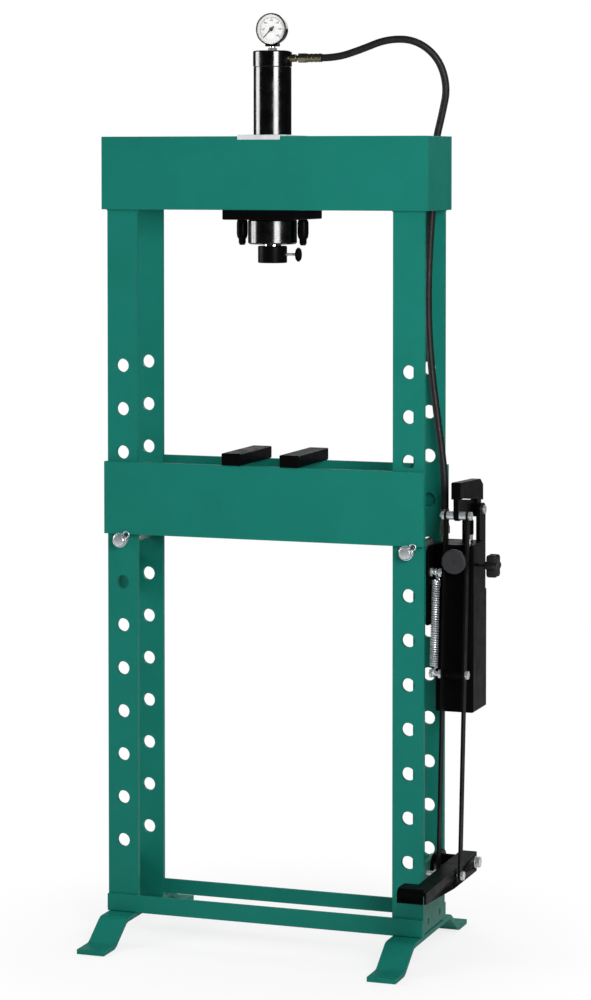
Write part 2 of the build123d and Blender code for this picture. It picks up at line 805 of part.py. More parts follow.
# ---------------------------------------------------------------- pump
def pump_plate():
    plate = block(column_edge, pump_plate_x, pump_plate_front, pump_plate_back,
                  body_low - pump_plate_below, body_top_z)
    corner = plate.edges().filter_by(Axis.X).sort_by(Axis.Z)[-2:].sort_by(Axis.Y)[0]
    plate = fillet(corner, pump_plate_corner)
    for y in (pump_bolt_front, pump_bolt_back):
        plate -= rod_x(column_edge - 1, pump_plate_x + 1, y, pump_bolt_z, pump_bolt_diameter + 1)
    return plate - rod_x(column_edge - 1, pump_plate_x + 1, anchor_y, anchor_z, pump_bolt_diameter)


def pump_tank():
    """Folded reservoir, open at the top, where it hangs under the pump body."""
    tank = block(pump_plate_x, body_right, body_front, tank_back, tank_low, body_low)
    tank = fillet(tank.edges().filter_by(Axis.Z), tank_edge)
    tank = fillet(tank.faces().sort_by(Axis.Z)[0].edges(), tank_low_edge)
    return tank - block(pump_plate_x + tank_wall, body_right - tank_wall, body_front + tank_wall,
                        tank_back - tank_wall, tank_low + tank_wall, body_low + 1)


def cheek(side):
    inner = rocker_width / 2 + cheek_gap
    low, high = sorted((linkage_x + side * inner, linkage_x + side * (inner + cheek_thickness)))
    plate = block(low, high, cheek_front, cheek_back, body_top_z - cheek_root, body_top_z + cheek_height)
    corners = plate.edges().filter_by(Axis.X).sort_by(Axis.Z)[-2:]
    return fillet(corners, cheek_corner)


def pump_body():
    """Cast body: bored for the plunger, with two ears for the rocker's pivot."""
    body = block(pump_plate_x, body_right, body_front, body_back, body_low, body_top_z)
    body = fillet(body.edges().filter_by(Axis.Z), body_edge)
    body += cheek(-1) + cheek(1)
    reach = rocker_width / 2 + cheek_gap + cheek_thickness + 1
    body -= rod_z(linkage_x, plunger_y, body_top_z - plunger_inside - plunger_bore_spare, body_top_z + 1,
                  plunger_diameter + 2 * running_gap)
    body -= rod_x(linkage_x - reach, linkage_x + reach, rocker_pivot_y, rocker_pivot_z, pivot_diameter)
    body -= rod_y(linkage_x, body_front - 1, body_front + spout_seat, filler_z, spout_diameter)
    body -= rod_x(body_right - release_seat - 2, body_right + 1, release_y, release_z,
                  release_stem_diameter + 2 * running_gap)
    return body - rod_x(pump_plate_x - 1, pump_plate_x + pump_bolt_depth, pump_bolt_back, pump_bolt_z,
                        pump_bolt_diameter)


def plunger():
    """Bright rod with a wider head; the rocker's web rests on its domed tip."""
    top = rocker_web_low - touch_gap
    head_low = body_top_z + plunger_head_above
    rod = rod_z(linkage_x, plunger_y, body_top_z - plunger_inside, head_low, plunger_diameter)
    head = rod_z(linkage_x, plunger_y, head_low, top - plunger_tip_radius, plunger_head_diameter)
    tip = Pos(linkage_x, plunger_y, top - plunger_tip_radius) * Sphere(plunger_tip_radius)
    return rod + head + (tip & rod_z(linkage_x, plunger_y, head_low, top + 1, plunger_diameter))


def filler_spout():
    """Pipe screwed into the body; it reaches forward between the straps."""
    pipe = rod_y(linkage_x, spout_front, body_front + spout_seat, filler_z, spout_diameter)
    return pipe - rod_y(linkage_x, spout_front - 1, body_front + spout_seat + 1, filler_z,
                        filler_plug_diameter + 2 * running_gap)


def filler_cap():
    """A large round plug that faces the operator."""
    face = spout_front - touch_gap
    cap = rod_y(linkage_x, face - filler_thickness, face, filler_z, filler_diameter)
    cap = fillet(cap.edges().filter_by(GeomType.CIRCLE).sort_by(Axis.Y)[0], filler_round)
    cap += rod_y(linkage_x, face, face + filler_plug_length, filler_z, filler_plug_diameter)
    return cap - rod_y(linkage_x, face - filler_thickness - 1, face - filler_thickness + filler_dimple_depth,
                       filler_z, filler_dimple)


def release_knob():
    """A lobed star knob on a thin valve stem."""
    start = body_right + release_stem_length
    stem = rod_x(body_right - release_seat, start, release_y, release_z, release_stem_diameter)
    hub = rod_x(start - release_hub_length, start, release_y, release_z, release_hub_diameter)
    lobe_circle = (release_knob_diameter - release_lobe_diameter) / 2
    star = rod_x(start, start + release_knob_thickness, release_y, release_z, 2 * lobe_circle)
    for lobe in range(release_lobes):
        angle = 2 * math.pi * lobe / release_lobes
        y = release_y + lobe_circle * math.cos(angle)
        z = release_z + lobe_circle * math.sin(angle)
        star += rod_x(start, start + release_knob_thickness, y, z, release_lobe_diameter)
    return stem + hub + star


def pump_bolts():
    """The rear screw ends in the body, the front one in a nut; the spring's bolt sits in the plate."""
    inner = column_edge - tie_thickness
    head = 0.65 * pump_bolt_diameter
    across = 1.6 * pump_bolt_diameter
    rear = bolt_x(inner, pump_plate_x + pump_bolt_depth - 1, pump_bolt_back, pump_bolt_z, pump_bolt_diameter)
    front = bolt_x(inner, pump_plate_x + head + 2, pump_bolt_front, pump_bolt_z, pump_bolt_diameter,
                   nut_x=pump_plate_x + head)
    anchor_end = pump_plate_x + anchor_reach
    anchor = rod_x(column_edge, anchor_end, anchor_y, anchor_z, pump_bolt_diameter)
    anchor += hexagon_x(pump_plate_x, pump_plate_x + 4, anchor_y, anchor_z, across)
    anchor += hexagon_x(anchor_end - head - 1, anchor_end - 1, anchor_y, anchor_z, across)
    return Compound(children=[front, rear, anchor])


# ---------------------------------------------------------------- rocker, straps, pedal
def rocker_arm():
    """Block on a thinner web, with an eye in front for the straps' bolt and a round lug on the pivot."""
    front = strap_top_y - rocker_shank_radius
    left, right = linkage_x - rocker_width / 2, linkage_x + rocker_width / 2
    web_left, web_right = linkage_x - rocker_web / 2, linkage_x + rocker_web / 2
    block_low = rocker_front_top - rocker_block_height
    heel_low = rocker_back_top - rocker_heel_depth
    web_back = rocker_back - rocker_web_inset
    top = plate_x(left, right, [
        (front, block_low), (front, rocker_front_top), (rocker_back - rocker_back_slope, rocker_back_top),
        (rocker_back, rocker_back_top - rocker_back_drop), (rocker_back, heel_low),
        (front + rocker_slope, block_low)])
    web = plate_x(web_left, web_right, [
        (front, strap_top_z), (front, block_low + web_lap), (web_back, heel_low + web_lap),
        (web_back, rocker_pivot_z), (rocker_pivot_y - rocker_web_end, rocker_web_low),
        (strap_top_y, rocker_web_low)])
    web += rod_x(web_left, web_right, strap_top_y, strap_top_z, 2 * rocker_shank_radius)
    lug = rod_x(left, right, rocker_pivot_y, rocker_pivot_z, 2 * rocker_lug_radius)
    lug += block(left, right, rocker_pivot_y - rocker_lug_radius, rocker_pivot_y + rocker_lug_radius,
                 rocker_pivot_z, heel_low + lug_lap)
    arm = fillet(top.edges().filter_by(Axis.X).sort_by(Axis.Z)[-3:], 4) + web + lug
    arm -= rod_x(left - 1, right + 1, strap_top_y, strap_top_z, strap_bolt_diameter + 2 * rocker_pin_slack)
    return arm - rod_x(left - 1, right + 1, rocker_pivot_y, rocker_pivot_z, pivot_diameter + 2 * running_gap)


def rocker_pivot():
    """Pin through both ears with a flat head on each side."""
    outer = rocker_width / 2 + cheek_gap + cheek_thickness
    end = outer + pivot_head_thickness
    pin = rod_x(linkage_x - end, linkage_x + end, rocker_pivot_y, rocker_pivot_z, pivot_diameter)
    for low, high in ((linkage_x - end, linkage_x - outer), (linkage_x + outer, linkage_x + end)):
        pin += rod_x(low, high, rocker_pivot_y, rocker_pivot_z, pivot_head_diameter)
    return pin


def pedal_pivot():
    """The pedal turns on this bolt, between its head and the boss on the bracket."""
    washer_left = linkage_x + lever_width / 2 + touch_gap
    head = washer_left + pedal_washer_thickness
    washer = rod_x(washer_left, head, pedal_pivot_y, pedal_pivot_z, pedal_washer_diameter)
    bolt = hexagon_x(head, head + pedal_head_length, pedal_pivot_y, pedal_pivot_z, pedal_head_width)
    inner = column_edge - tie_thickness
    bolt += rod_x(inner - pedal_head_length - 1, head, pedal_pivot_y, pedal_pivot_z, pivot_diameter)
    nut = hexagon_x(inner - pedal_head_length, inner, pedal_pivot_y, pedal_pivot_z, pedal_head_width)
    return bolt + washer + nut


def strap(side):
    """A flat bar with round ends and three holes, leaning forward towards its foot."""
    x = left_strap_x if side < 0 else right_strap_x
    low, high = x - strap_thickness / 2, x + strap_thickness / 2
    length = math.hypot(strap_top_y - strap_low_y, strap_top_z - strap_low_z)
    lean = -math.degrees(math.atan2(strap_top_y - strap_low_y, strap_top_z - strap_low_z))
    bar = block(low, high, -strap_width / 2, strap_width / 2, 0, length)
    bar += rod_x(low, high, 0, 0, strap_width) + rod_x(low, high, 0, length, strap_width)
    bar = Pos(0, strap_low_y, strap_low_z) * Rot(lean, 0, 0) * bar
    for y, z in ((strap_top_y, strap_top_z), (cross_bolt_y, cross_bolt_z), (strap_low_y, strap_low_z)):
        bar -= rod_x(low - 1, high + 1, y, z, strap_bolt_diameter)
    return bar


def strap_bolts():
    """Top, middle and foot bolts of the straps; the middle one reaches out to the spring."""
    d = strap_bolt_diameter
    top = bolt_x(outer_strap_right, outer_strap_left - d, strap_top_y, strap_top_z, d,
                 nut_x=outer_strap_left)
    cross_end = spring_x - cross_bolt_end
    cross = bolt_x(outer_strap_right, cross_end, cross_bolt_y, cross_bolt_z, d, nut_x=outer_strap_left)
    cross += hexagon_x(cross_end, cross_end + d / 2, cross_bolt_y, cross_bolt_z, 1.6 * d)
    foot_bolt = bolt_x(outer_strap_right, outer_strap_left - foot_bolt_end, strap_low_y, strap_low_z, d,
                       nut_x=outer_strap_left)
    return Compound(children=[top, cross, foot_bolt])


def strap_spacers():
    """Two collars beside the rocker and one long tube half way down."""
    inner_left = left_strap_x + strap_thickness / 2
    inner_right = right_strap_x - strap_thickness / 2
    web = rocker_web / 2 + 0.4
    collars = []
    for low, high in ((inner_left, linkage_x - web), (linkage_x + web, inner_right)):
        collars.append(rod_x(low, high, strap_top_y, strap_top_z, top_spacer_diameter)
                       - rod_x(low - 1, high + 1, strap_top_y, strap_top_z, strap_bolt_diameter))
    tube = (rod_x(inner_left, inner_right, cross_bolt_y, cross_bolt_z, spacer_tube_diameter)
            - rod_x(inner_left - 1, inner_right + 1, cross_bolt_y, cross_bolt_z, strap_bolt_diameter))
    return Compound(children=collars + [tube])


def pedal_spring():
    """Extension spring from the anchor bolt down to the straps' middle bolt; its close coils are a tube."""
    wire = spring_wire
    eye = strap_bolt_diameter / 2 + 0.2 + wire / 2
    span = math.hypot(anchor_y - cross_bolt_y, anchor_z - cross_bolt_z)
    low = eye + spring_hook
    high = span - eye - spring_hook
    body = rod_z(0, 0, low, high, spring_diameter)
    body -= rod_z(0, 0, low + wire, high - wire, spring_diameter - 2 * wire)
    for z, way in ((0, 1), (span, -1)):
        body += Pos(0, 0, z) * Rot(0, 90, 0) * Torus(eye, wire / 2)
        ends = sorted((z + way * (eye - wire / 4), z + way * (eye + spring_hook + 1)))
        body += rod_z(0, 0, *ends, wire)
    lean = -math.degrees(math.atan2(anchor_y - cross_bolt_y, anchor_z - cross_bolt_z))
    return Pos(spring_x, cross_bolt_y, cross_bolt_z) * Rot(lean, 0, 0) * body


def pedal_lever():
    """Folded channel, open below, that carries a wider tread with a toothed front edge."""
    left, right = linkage_x - lever_width / 2, linkage_x + lever_width / 2
    lip_back = pad_front + pad_lip_thickness
    outer = [(lever_back, lever_low_z), (lever_back, lever_top_z), (lip_back, lever_front_top_z),
             (lip_back, lever_front_low_z), (lever_taper_y, lever_low_z)]
    hollow = [(lever_back + 1, 0), (lever_back + 1, lever_top_z - lever_wall),
              (lip_back, lever_front_top_z - lever_wall), (lip_back, 0)]
    lever = plate_x(left, right, outer) - plate_x(left + lever_wall, right - lever_wall, hollow)
    tread_x = right - pad_inset - pad_width / 2
    low, high = tread_x - pad_width / 2, tread_x + pad_width / 2
    tread = block(low, high, pad_front, pad_back, pad_top_z - pad_thickness, pad_top_z)
    tread += block(low, high, pad_front, lip_back, pad_top_z - pad_lip_height, pad_top_z)
    tread = fillet(tread.edges().filter_by(Axis.X).sort_by(Axis.Z)[-2:].sort_by(Axis.Y)[0], 4)
    tooth_pitch = pad_width / pad_teeth
    for tooth in range(pad_teeth):
        x = low + (tooth + 0.5) * tooth_pitch
        notch = block(x - tooth_pitch / 4, x + tooth_pitch / 4, pad_front - 1, pad_front + pad_tooth_depth,
                      pad_top_z - pad_lip_height - 1, pad_top_z - pad_lip_height + 9)
        tread -= notch
    lever += tread
    lever -= rod_x(left - 1, right + 1, pedal_pivot_y, pedal_pivot_z, pivot_diameter + 2 * running_gap)
    return lever - rod_x(left - 1, right + 1, strap_low_y, strap_low_z,
                         strap_bolt_diameter + 2 * running_gap)


def pedal_bracket():
    """Plate on the base tie with a long boss that the pedal's bolt runs through."""
    plate = block(column_edge, pedal_plate_x, pedal_plate_front, pedal_plate_back,
                  pedal_pivot_z - pedal_plate_below, pedal_pivot_z + pedal_plate_above)
    plate = fillet(plate.edges().filter_by(Axis.X).sort_by(Axis.Z)[-2:], pedal_plate_corner)
    plate += rod_x(pedal_plate_x, pedal_boss_right, pedal_pivot_y, pedal_pivot_z, pedal_boss_diameter)
    return plate - rod_x(column_edge - 1, pedal_boss_right + 1, pedal_pivot_y, pedal_pivot_z, pivot_diameter)


# ---------------------------------------------------------------- the assembly
left_pin, left_clip = table_pin(-1)
right_pin, right_clip = table_pin(1)
pieces = {
    "left_front_upright": upright(-1, -half_depth),
    "left_rear_upright": upright(-1, inner_depth),
    "right_front_upright": upright(1, -half_depth),
    "right_rear_upright": upright(1, inner_depth),
    "head_front_plate": head_plate(-head_face),
    "head_rear_plate": head_plate(half_depth),
    "head_end_plates": both_sides(head_end),
    "head_cross_bars": both_sides(cross_bar),
    "base_rails": Compound(children=[base_rail(-1, front_rail_height), base_rail(1, rear_rail_height)]),
    "left_foot": foot(-1),
    "right_foot": foot(1),
    "left_base_tie": tie(-1, base_tie_low, tie_height),
    "right_base_tie": right_base_tie(),
    "middle_tie_plates": both_sides(middle_tie),
    "cylinder_guide_plate": guide_plate(),
    "cylinder_flange_plate": flange_plate(),
    "clamp_studs": both_sides(clamp_stud),
    "left_clamp_knob": clamp_knob(-1),
    "right_clamp_knob": clamp_knob(1),
    "cylinder_tube": cylinder_tube(),
    "cylinder_cap": cylinder_cap(),
    "cylinder_gland": cylinder_gland(),
    "gland_wiper": gland_wiper(),
    "piston": piston(),
    "piston_seal": piston_seal(),
    "piston_rod": piston_rod(),
    "ram_return_spring": return_spring(),
    "ram_cap": ram_cap(),
    "ram_thumbscrew": thumbscrew(),
    "gauge_stem": gauge_stem(),
    "gauge_case": gauge_case(),
    "gauge_dial": gauge_dial(),
    "gauge_pointer": gauge_pointer(),
    "gauge_lens": gauge_lens(),
    "hose_fittings": Compound(children=[upper_fitting(), lower_fitting()]),
    "hose_ferrules": Compound(children=[ferrule("x"), ferrule("z")]),
    "hose": hose(),
    "table_front_plate": table_plate(-1),
    "table_rear_plate": table_plate(1),
    "table_spacers": both_sides(table_spacer),
    "left_table_pin": Compound(children=[left_pin, left_clip]),
    "right_table_pin": Compound(children=[right_pin, right_clip]),
    "left_press_block": press_block(block_left_x),
    "right_press_block": press_block(block_right_x),
    "pump_mounting_plate": pump_plate(),
    "pump_tank": pump_tank(),
    "pump_body": pump_body(),
    "pump_plunger": plunger(),
    "filler_spout": filler_spout(),
    "tank_filler_cap": filler_cap(),
    "release_knob": release_knob(),
    "pump_bolts": pump_bolts(),
    "rocker_arm": rocker_arm(),
    "pivot_pins": Compound(children=[rocker_pivot(), pedal_pivot()]),
    "pull_straps": both_sides(strap),
    "strap_bolts": strap_bolts(),
    "strap_spacers": strap_spacers(),
    "pedal_return_spring": pedal_spring(),
    "pedal_lever": pedal_lever(),
    "pedal_bracket": pedal_bracket(),
}

for name, piece in pieces.items():
    export_step(piece, f"parts/{name}.step")
print(len(pieces), "nodes")
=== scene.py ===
import bpy
import bmesh
import json
import math
from mathutils import Vector, Matrix


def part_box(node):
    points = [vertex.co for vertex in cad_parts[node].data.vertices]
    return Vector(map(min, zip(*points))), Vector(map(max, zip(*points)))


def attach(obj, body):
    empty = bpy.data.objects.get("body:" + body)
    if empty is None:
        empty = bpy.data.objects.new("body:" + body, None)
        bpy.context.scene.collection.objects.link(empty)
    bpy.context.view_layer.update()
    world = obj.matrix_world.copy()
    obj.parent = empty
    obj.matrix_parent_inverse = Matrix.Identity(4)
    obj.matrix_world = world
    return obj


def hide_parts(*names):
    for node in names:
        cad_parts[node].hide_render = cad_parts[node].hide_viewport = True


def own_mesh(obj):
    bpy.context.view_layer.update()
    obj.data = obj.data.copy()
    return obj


# Workshop press with a foot pump: rounded edges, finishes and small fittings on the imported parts.
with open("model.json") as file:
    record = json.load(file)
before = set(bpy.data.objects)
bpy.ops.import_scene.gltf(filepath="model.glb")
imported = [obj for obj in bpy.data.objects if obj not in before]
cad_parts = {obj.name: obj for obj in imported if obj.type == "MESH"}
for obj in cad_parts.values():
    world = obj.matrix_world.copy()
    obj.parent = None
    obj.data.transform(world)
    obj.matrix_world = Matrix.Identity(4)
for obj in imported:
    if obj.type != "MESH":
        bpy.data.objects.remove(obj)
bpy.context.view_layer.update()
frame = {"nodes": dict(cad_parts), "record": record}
nodeObjects = frame["nodes"]
behaviour = frame["record"]["behaviour"]
bodyOfNode = {name: body for body, names in behaviour["bodies"].items() for name in names}
slotOfNode = {row["node"]: row["material_slot"] for row in frame["record"]["subparts"]}
jointNamed = {joint["name"]: joint for joint in behaviour["joints"]}
print("frame loaded")


def newObject(name, data):
    piece = bpy.data.objects.new(name, data)
    bpy.context.scene.collection.objects.link(piece)
    return piece


view = {
    "place": (2.0913, -5.7907, 1.6056),
    "turn": 19.499,      # degrees, to the left
    "tilt": -2.242,      # degrees, below zero looks down
    "lens": 107.85,
    "shiftX": 0.0013,
    "shiftY": -0.2187,
    "reach": 60,
}


def makeCamera():
    data = bpy.data.cameras.new("camera")
    camera = newObject("camera", data)
    camera.location = view["place"]
    camera.rotation_euler = (math.radians(90 + view["tilt"]), 0, math.radians(view["turn"]))
    data.lens = view["lens"]
    data.sensor_fit = "AUTO"
    data.shift_x = view["shiftX"]
    data.shift_y = view["shiftY"]
    data.clip_end = view["reach"]
    bpy.context.scene.camera = camera


makeCamera()


def setInputs(node, values):
    for name, value in values.items():
        node.inputs[name].default_value = value


# A node with its settings, and values for those inputs that nothing is linked to.
def addNode(tree, kind, values=None, **settings):
    node = tree.nodes.new(kind)
    for name, value in settings.items():
        setattr(node, name, value)
    setInputs(node, values or {})
    return node


# Links rows of (node, output, node, input).
def connect(tree, *rows):
    for source, output, target, entry in rows:
        tree.links.new(source.outputs[output], target.inputs[entry])


# A linear colour from a screen's red, green and blue.
def fromSrgb(red, green, blue):
    def channel(value):
        value /= 255
        return value / 12.92 if value <= 0.04045 else ((value + 0.055) / 1.055) ** 2.4
    return (channel(red), channel(green), channel(blue), 1)


# A colour made lighter or darker, and opaque.
def shaded(colour, share, lift=0.0):
    return tuple(share * value + lift for value in colour[:3]) + (1,)


# A principled material and a few nodes that vary it.
class Finish:
    def __init__(self, name, colour, roughness, metallic=0.0, specular=0.5):
        self.material = bpy.data.materials.new(name)
        self.material.use_nodes = True
        self.tree = self.material.node_tree
        self.link = self.tree.links.new
        self.shader = self.tree.nodes["Principled BSDF"]
        setInputs(self.shader, {"Base Color": colour, "Roughness": roughness, "Metallic": metallic,
                                "Specular IOR Level": specular})
        self.colour = colour
        self.roughness = roughness
        self.place = addNode(self.tree, "ShaderNodeTexCoord")

    def noise(self, scale, detail=3.0, stretch=(1, 1, 1)):
        mapping = addNode(self.tree, "ShaderNodeMapping", {"Scale": stretch})
        noise = addNode(self.tree, "ShaderNodeTexNoise", {"Scale": scale, "Detail": detail})
        connect(self.tree, (self.place, "Object", mapping, "Vector"), (mapping, "Vector", noise, "Vector"))
        return noise.outputs["Fac"]

    def remap(self, value, low, high, toLow, toHigh):
        node = addNode(self.tree, "ShaderNodeMapRange",
                       {"From Min": low, "From Max": high, "To Min": toLow, "To Max": toHigh})
        self.link(value, node.inputs["Value"])
        return node.outputs["Result"]

    # Mixes the present colour with up to a share of another as value goes from low to high.
    def tint(self, value, low, high, share, other):
        mix = addNode(self.tree, "ShaderNodeMix", {"B": other}, data_type="RGBA")
        socket = self.shader.inputs["Base Color"]
        if socket.is_linked:
            self.link(socket.links[0].from_socket, mix.inputs["A"])
        else:
            mix.inputs["A"].default_value = self.colour
        self.link(self.remap(value, low, high, 0, share), mix.inputs["Factor"])
        self.link(mix.outputs["Result"], socket)

    # Lets the roughness wander by spread on either side, and never to a mirror.
    def roughen(self, value, low, high, spread):
        glossiest = max(0.02, self.roughness - spread)
        wander = self.remap(value, low, high, glossiest, self.roughness + spread)
        self.link(wander, self.shader.inputs["Roughness"])

    def bump(self, value, height, strength):
        node = addNode(self.tree, "ShaderNodeBump", {"Distance": height, "Strength": strength})
        self.link(value, node.inputs["Height"])
        socket = self.shader.inputs["Normal"]
        if socket.is_linked:
            self.link(socket.links[0].from_socket, node.inputs["Normal"])
        self.link(node.outputs["Normal"], socket)


# Scales are noise per metre, and heights are in metres.
paintGrain = {"cloud": 9, "cloudShade": 0.82, "speck": 420, "speckShade": 1.5, "speckLift": 0.01,
              "speckShare": 4, "gloss": 38, "glossSpread": 0.07, "peel": 650, "peelHeight": 0.00006,
              "wave": 90, "waveHeight": 0.00016}


# Sprayed enamel: faint orange peel, cloudy gloss and a few pale specks.
def makePaint(name, colour, roughness, specular, dust=0.06):
    paint = Finish(name, colour, roughness, specular=specular)
    darker = shaded(colour, paintGrain["cloudShade"])
    paint.tint(paint.noise(paintGrain["cloud"], 4), 0.35, 0.75, 0.5, darker)
    lighter = shaded(colour, paintGrain["speckShade"], paintGrain["speckLift"])
    paint.tint(paint.noise(paintGrain["speck"], 2), 0.66, 0.78, dust * paintGrain["speckShare"], lighter)
    paint.roughen(paint.noise(paintGrain["gloss"], 4), 0.3, 0.75, paintGrain["glossSpread"])
    paint.bump(paint.noise(paintGrain["peel"], 2), paintGrain["peelHeight"], 0.6)
    paint.bump(paint.noise(paintGrain["wave"], 2), paintGrain["waveHeight"], 0.35)
    return paint.material


metalGrain = {"streak": 160, "shade": 0.62, "blot": 45, "streakShare": 0.7, "glossSpread": 0.1,
              "height": 0.00003}


# Plated or bare metal with blots and brushed streaks.
def makeMetal(name, colour, roughness, brushed=(1, 1, 12), tarnish=0.35, metallic=1.0):
    metal = Finish(name, colour, roughness, metallic=metallic)
    streaks = metal.noise(metalGrain["streak"], 4, brushed)
    shade = shaded(colour, metalGrain["shade"])
    metal.tint(metal.noise(metalGrain["blot"], 4), 0.45, 0.8, tarnish, shade)
    metal.tint(streaks, 0.55, 0.85, tarnish * metalGrain["streakShare"], shade)
    metal.roughen(streaks, 0.3, 0.8, metalGrain["glossSpread"])
    metal.bump(streaks, metalGrain["height"], 0.5)
    return metal.material


rubberGrain = {"specular": 0.2, "blot": 60, "blotColour": (0.024, 0.024, 0.024, 1), "gloss": 240,
               "glossSpread": 0.12, "skin": 1400, "height": 0.00008}


def makeRubber(name, colour, roughness):
    rubber = Finish(name, colour, roughness, specular=rubberGrain["specular"])
    rubber.tint(rubber.noise(rubberGrain["blot"], 4), 0.5, 0.8, 0.6, rubberGrain["blotColour"])
    rubber.roughen(rubber.noise(rubberGrain["gloss"]), 0.3, 0.7, rubberGrain["glossSpread"])
    rubber.bump(rubber.noise(rubberGrain["skin"], 2), rubberGrain["height"], 0.7)
    return rubber.material


mouldedGrain = {"specular": 0.2, "blot": 70, "blotShade": 1.4, "skin": 900, "height": 0.00006}


def makeMoulded(name, colour, roughness=0.45):
    moulded = Finish(name, colour, roughness, specular=mouldedGrain["specular"])
    lighter = shaded(colour, mouldedGrain["blotShade"])
    moulded.tint(moulded.noise(mouldedGrain["blot"]), 0.5, 0.8, 0.4, lighter)
    moulded.bump(moulded.noise(mouldedGrain["skin"], 2), mouldedGrain["height"], 0.7)
    return moulded.material


def makeGlass(name, colour, roughness, cover):
    glass = Finish(name, colour, roughness)
    glass.shader.inputs["Alpha"].default_value = cover
    return glass.material


finishes = {
    "frame_paint": makePaint("framePaint", fromSrgb(21, 113, 100), 0.4, 0.08),
    # The tie plates get the frame green painted lighter and greyer: painted light and sheen for their sides
    # that face the lamps.
    "tie_paint": makePaint("tieGreenPaintedLight", fromSrgb(52, 112, 99), 0.44, 0.08),
    "cylinder_paint": makePaint("cylinderPaint", (0.0006, 0.0006, 0.0008, 1), 0.18, 0.86, 0.0),
    "black_paint": makePaint("blackPaint", (0.0020, 0.0020, 0.0022, 1), 0.36, 0.03, 0.02),
    "strap_paint": makePaint("strapPaint", (0.0044, 0.0042, 0.0044, 1), 0.42, 0.03, 0.02),
    "zinc_plate": makeMetal("zincPlate", (0.66, 0.69, 0.72, 1), 0.3, metallic=0.72),
    "spring_steel": makeMetal("springSteel", (0.28, 0.28, 0.3, 1), 0.35),
    "chrome_rod": makeMetal("chromeRod", (0.75, 0.76, 0.78, 1), 0.1, (1, 1, 1), 0.08),
    "fitting_plate": makeMetal("fittingPlate", (0.30, 0.27, 0.19, 1), 0.36),
    "hose_rubber": makeRubber("hoseRubber", (0.010, 0.010, 0.0105, 1), 0.46),
    "seal_rubber": makeRubber("sealRubber", (0.012, 0.012, 0.012, 1), 0.55),
    "knob_plastic": makeMoulded("knobPlastic", (0.011, 0.011, 0.012, 1)),
    "gauge_body": makePaint("gaugeBody", (0.003, 0.003, 0.0032, 1), 0.2, 0.4, 0.0),
    "dial_face": makeMoulded("dialFace", (0.86, 0.86, 0.85, 1), 0.5),
    "pointer_black": makeMoulded("pointerBlack", (0.01, 0.01, 0.01, 1)),
    "lens_glass": makeGlass("lensGlass", (0.95, 0.97, 0.97, 1), 0.03, 0.03),
    # Not slots of the record: for pieces that share a slot with others and look different.
    "guide_plate": makeMetal("guidePlate", (0.80, 0.82, 0.84, 1), 0.4, metallic=0.3),
    "cap_plastic": makeMoulded("capPlastic", (0.028, 0.028, 0.031, 1), 0.4),
}
print("finishes made")


def meshFrom(work, name):
    mesh = bpy.data.meshes.new(name)
    work.to_mesh(mesh)
    work.free()
    return mesh


def evaluatedMesh(piece):
    bpy.context.view_layer.update()
    graph = bpy.context.evaluated_depsgraph_get()
    return bpy.data.meshes.new_from_object(piece.evaluated_get(graph), depsgraph=graph)


# A node's two corners and its middle.
def boxOf(node):
    low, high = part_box(node)
    return low, high, (low + high) / 2


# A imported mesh's vertices are merged up to gap metres apart, and its faces up to bend degrees from flat.
edges = {"angle": 32, "segments": 2, "flatWeight": 100, "gap": 2e-6, "bend": 0.6}


def smooth(piece, angle=edges["angle"]):
    piece.data.shade_smooth()
    piece.data.set_sharp_from_angle(angle=math.radians(angle))
    return piece


# Bevels the sharp edges, keeps flat faces looking flat and bakes the result into the mesh.
def roundEdges(piece, width):
    piece.data.shade_smooth()
    bevel = piece.modifiers.new("bevel", "BEVEL")
    bevel.width = width
    bevel.segments = edges["segments"]
    bevel.limit_method = "ANGLE"
    bevel.angle_limit = math.radians(edges["angle"])
    bevel.harden_normals = True
    bevel.use_clamp_overlap = True
    weighted = piece.modifiers.new("weighted", "WEIGHTED_NORMAL")
    weighted.weight = edges["flatWeight"]
    piece.data = evaluatedMesh(piece)
    piece.modifiers.clear()
    piece.data.name = piece.name
    return piece


# Gives a piece the finish of its slot and puts it on its body; finish is for a look that the record has no
# slot for.
def settle(piece, body, slotName, *replaced, finish=None):
    piece.data.materials.clear()
    piece.data.materials.append(finishes[finish or slotName])
    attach(piece, body)
    if replaced:
        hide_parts(*replaced)
    return piece


def mergeVertices(work):
    bmesh.ops.remove_doubles(work, verts=work.verts, dist=edges["gap"])


def mergeFlatFaces(work):
    bend = math.radians(edges["bend"])
    bmesh.ops.dissolve_limit(work, angle_limit=bend, verts=work.verts, edges=work.edges)


def packedCopy(node):
    work = bmesh.new()
    work.from_mesh(nodeObjects[node].data)
    mergeVertices(work)
    return work


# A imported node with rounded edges; keep says which vertices are its own when a node is shared out.
def dressNode(node, width, finish=None, keep=None, tail="_dressed", replaces=True):
    work = packedCopy(node)
    mergeFlatFaces(work)
    if keep:
        others = [vert for vert in work.verts if not keep(vert.co)]
        bmesh.ops.delete(work, geom=others, context="VERTS")
    piece = roundEdges(newObject(node + tail, meshFrom(work, node)), width)
    return settle(piece, bodyOfNode[node], slotOfNode[node], *([node] if replaces else []), finish=finish)


axisTurn = {
    "x": Matrix(((0, 0, 1), (1, 0, 0), (0, 1, 0))).to_4x4(),
    "y": Matrix(((0, 1, 0), (0, 0, 1), (1, 0, 0))).to_4x4(),
    "z": Matrix.Identity(4),
}


# Points on an arc about a centre, from one angle in radians to another.
def arc(radius, first, last, steps, centre=(0, 0)):
    turns = [first + (last - first) * step / steps for step in range(steps + 1)]
    return [(centre[0] + radius * math.cos(turn), centre[1] + radius * math.sin(turn)) for turn in turns]


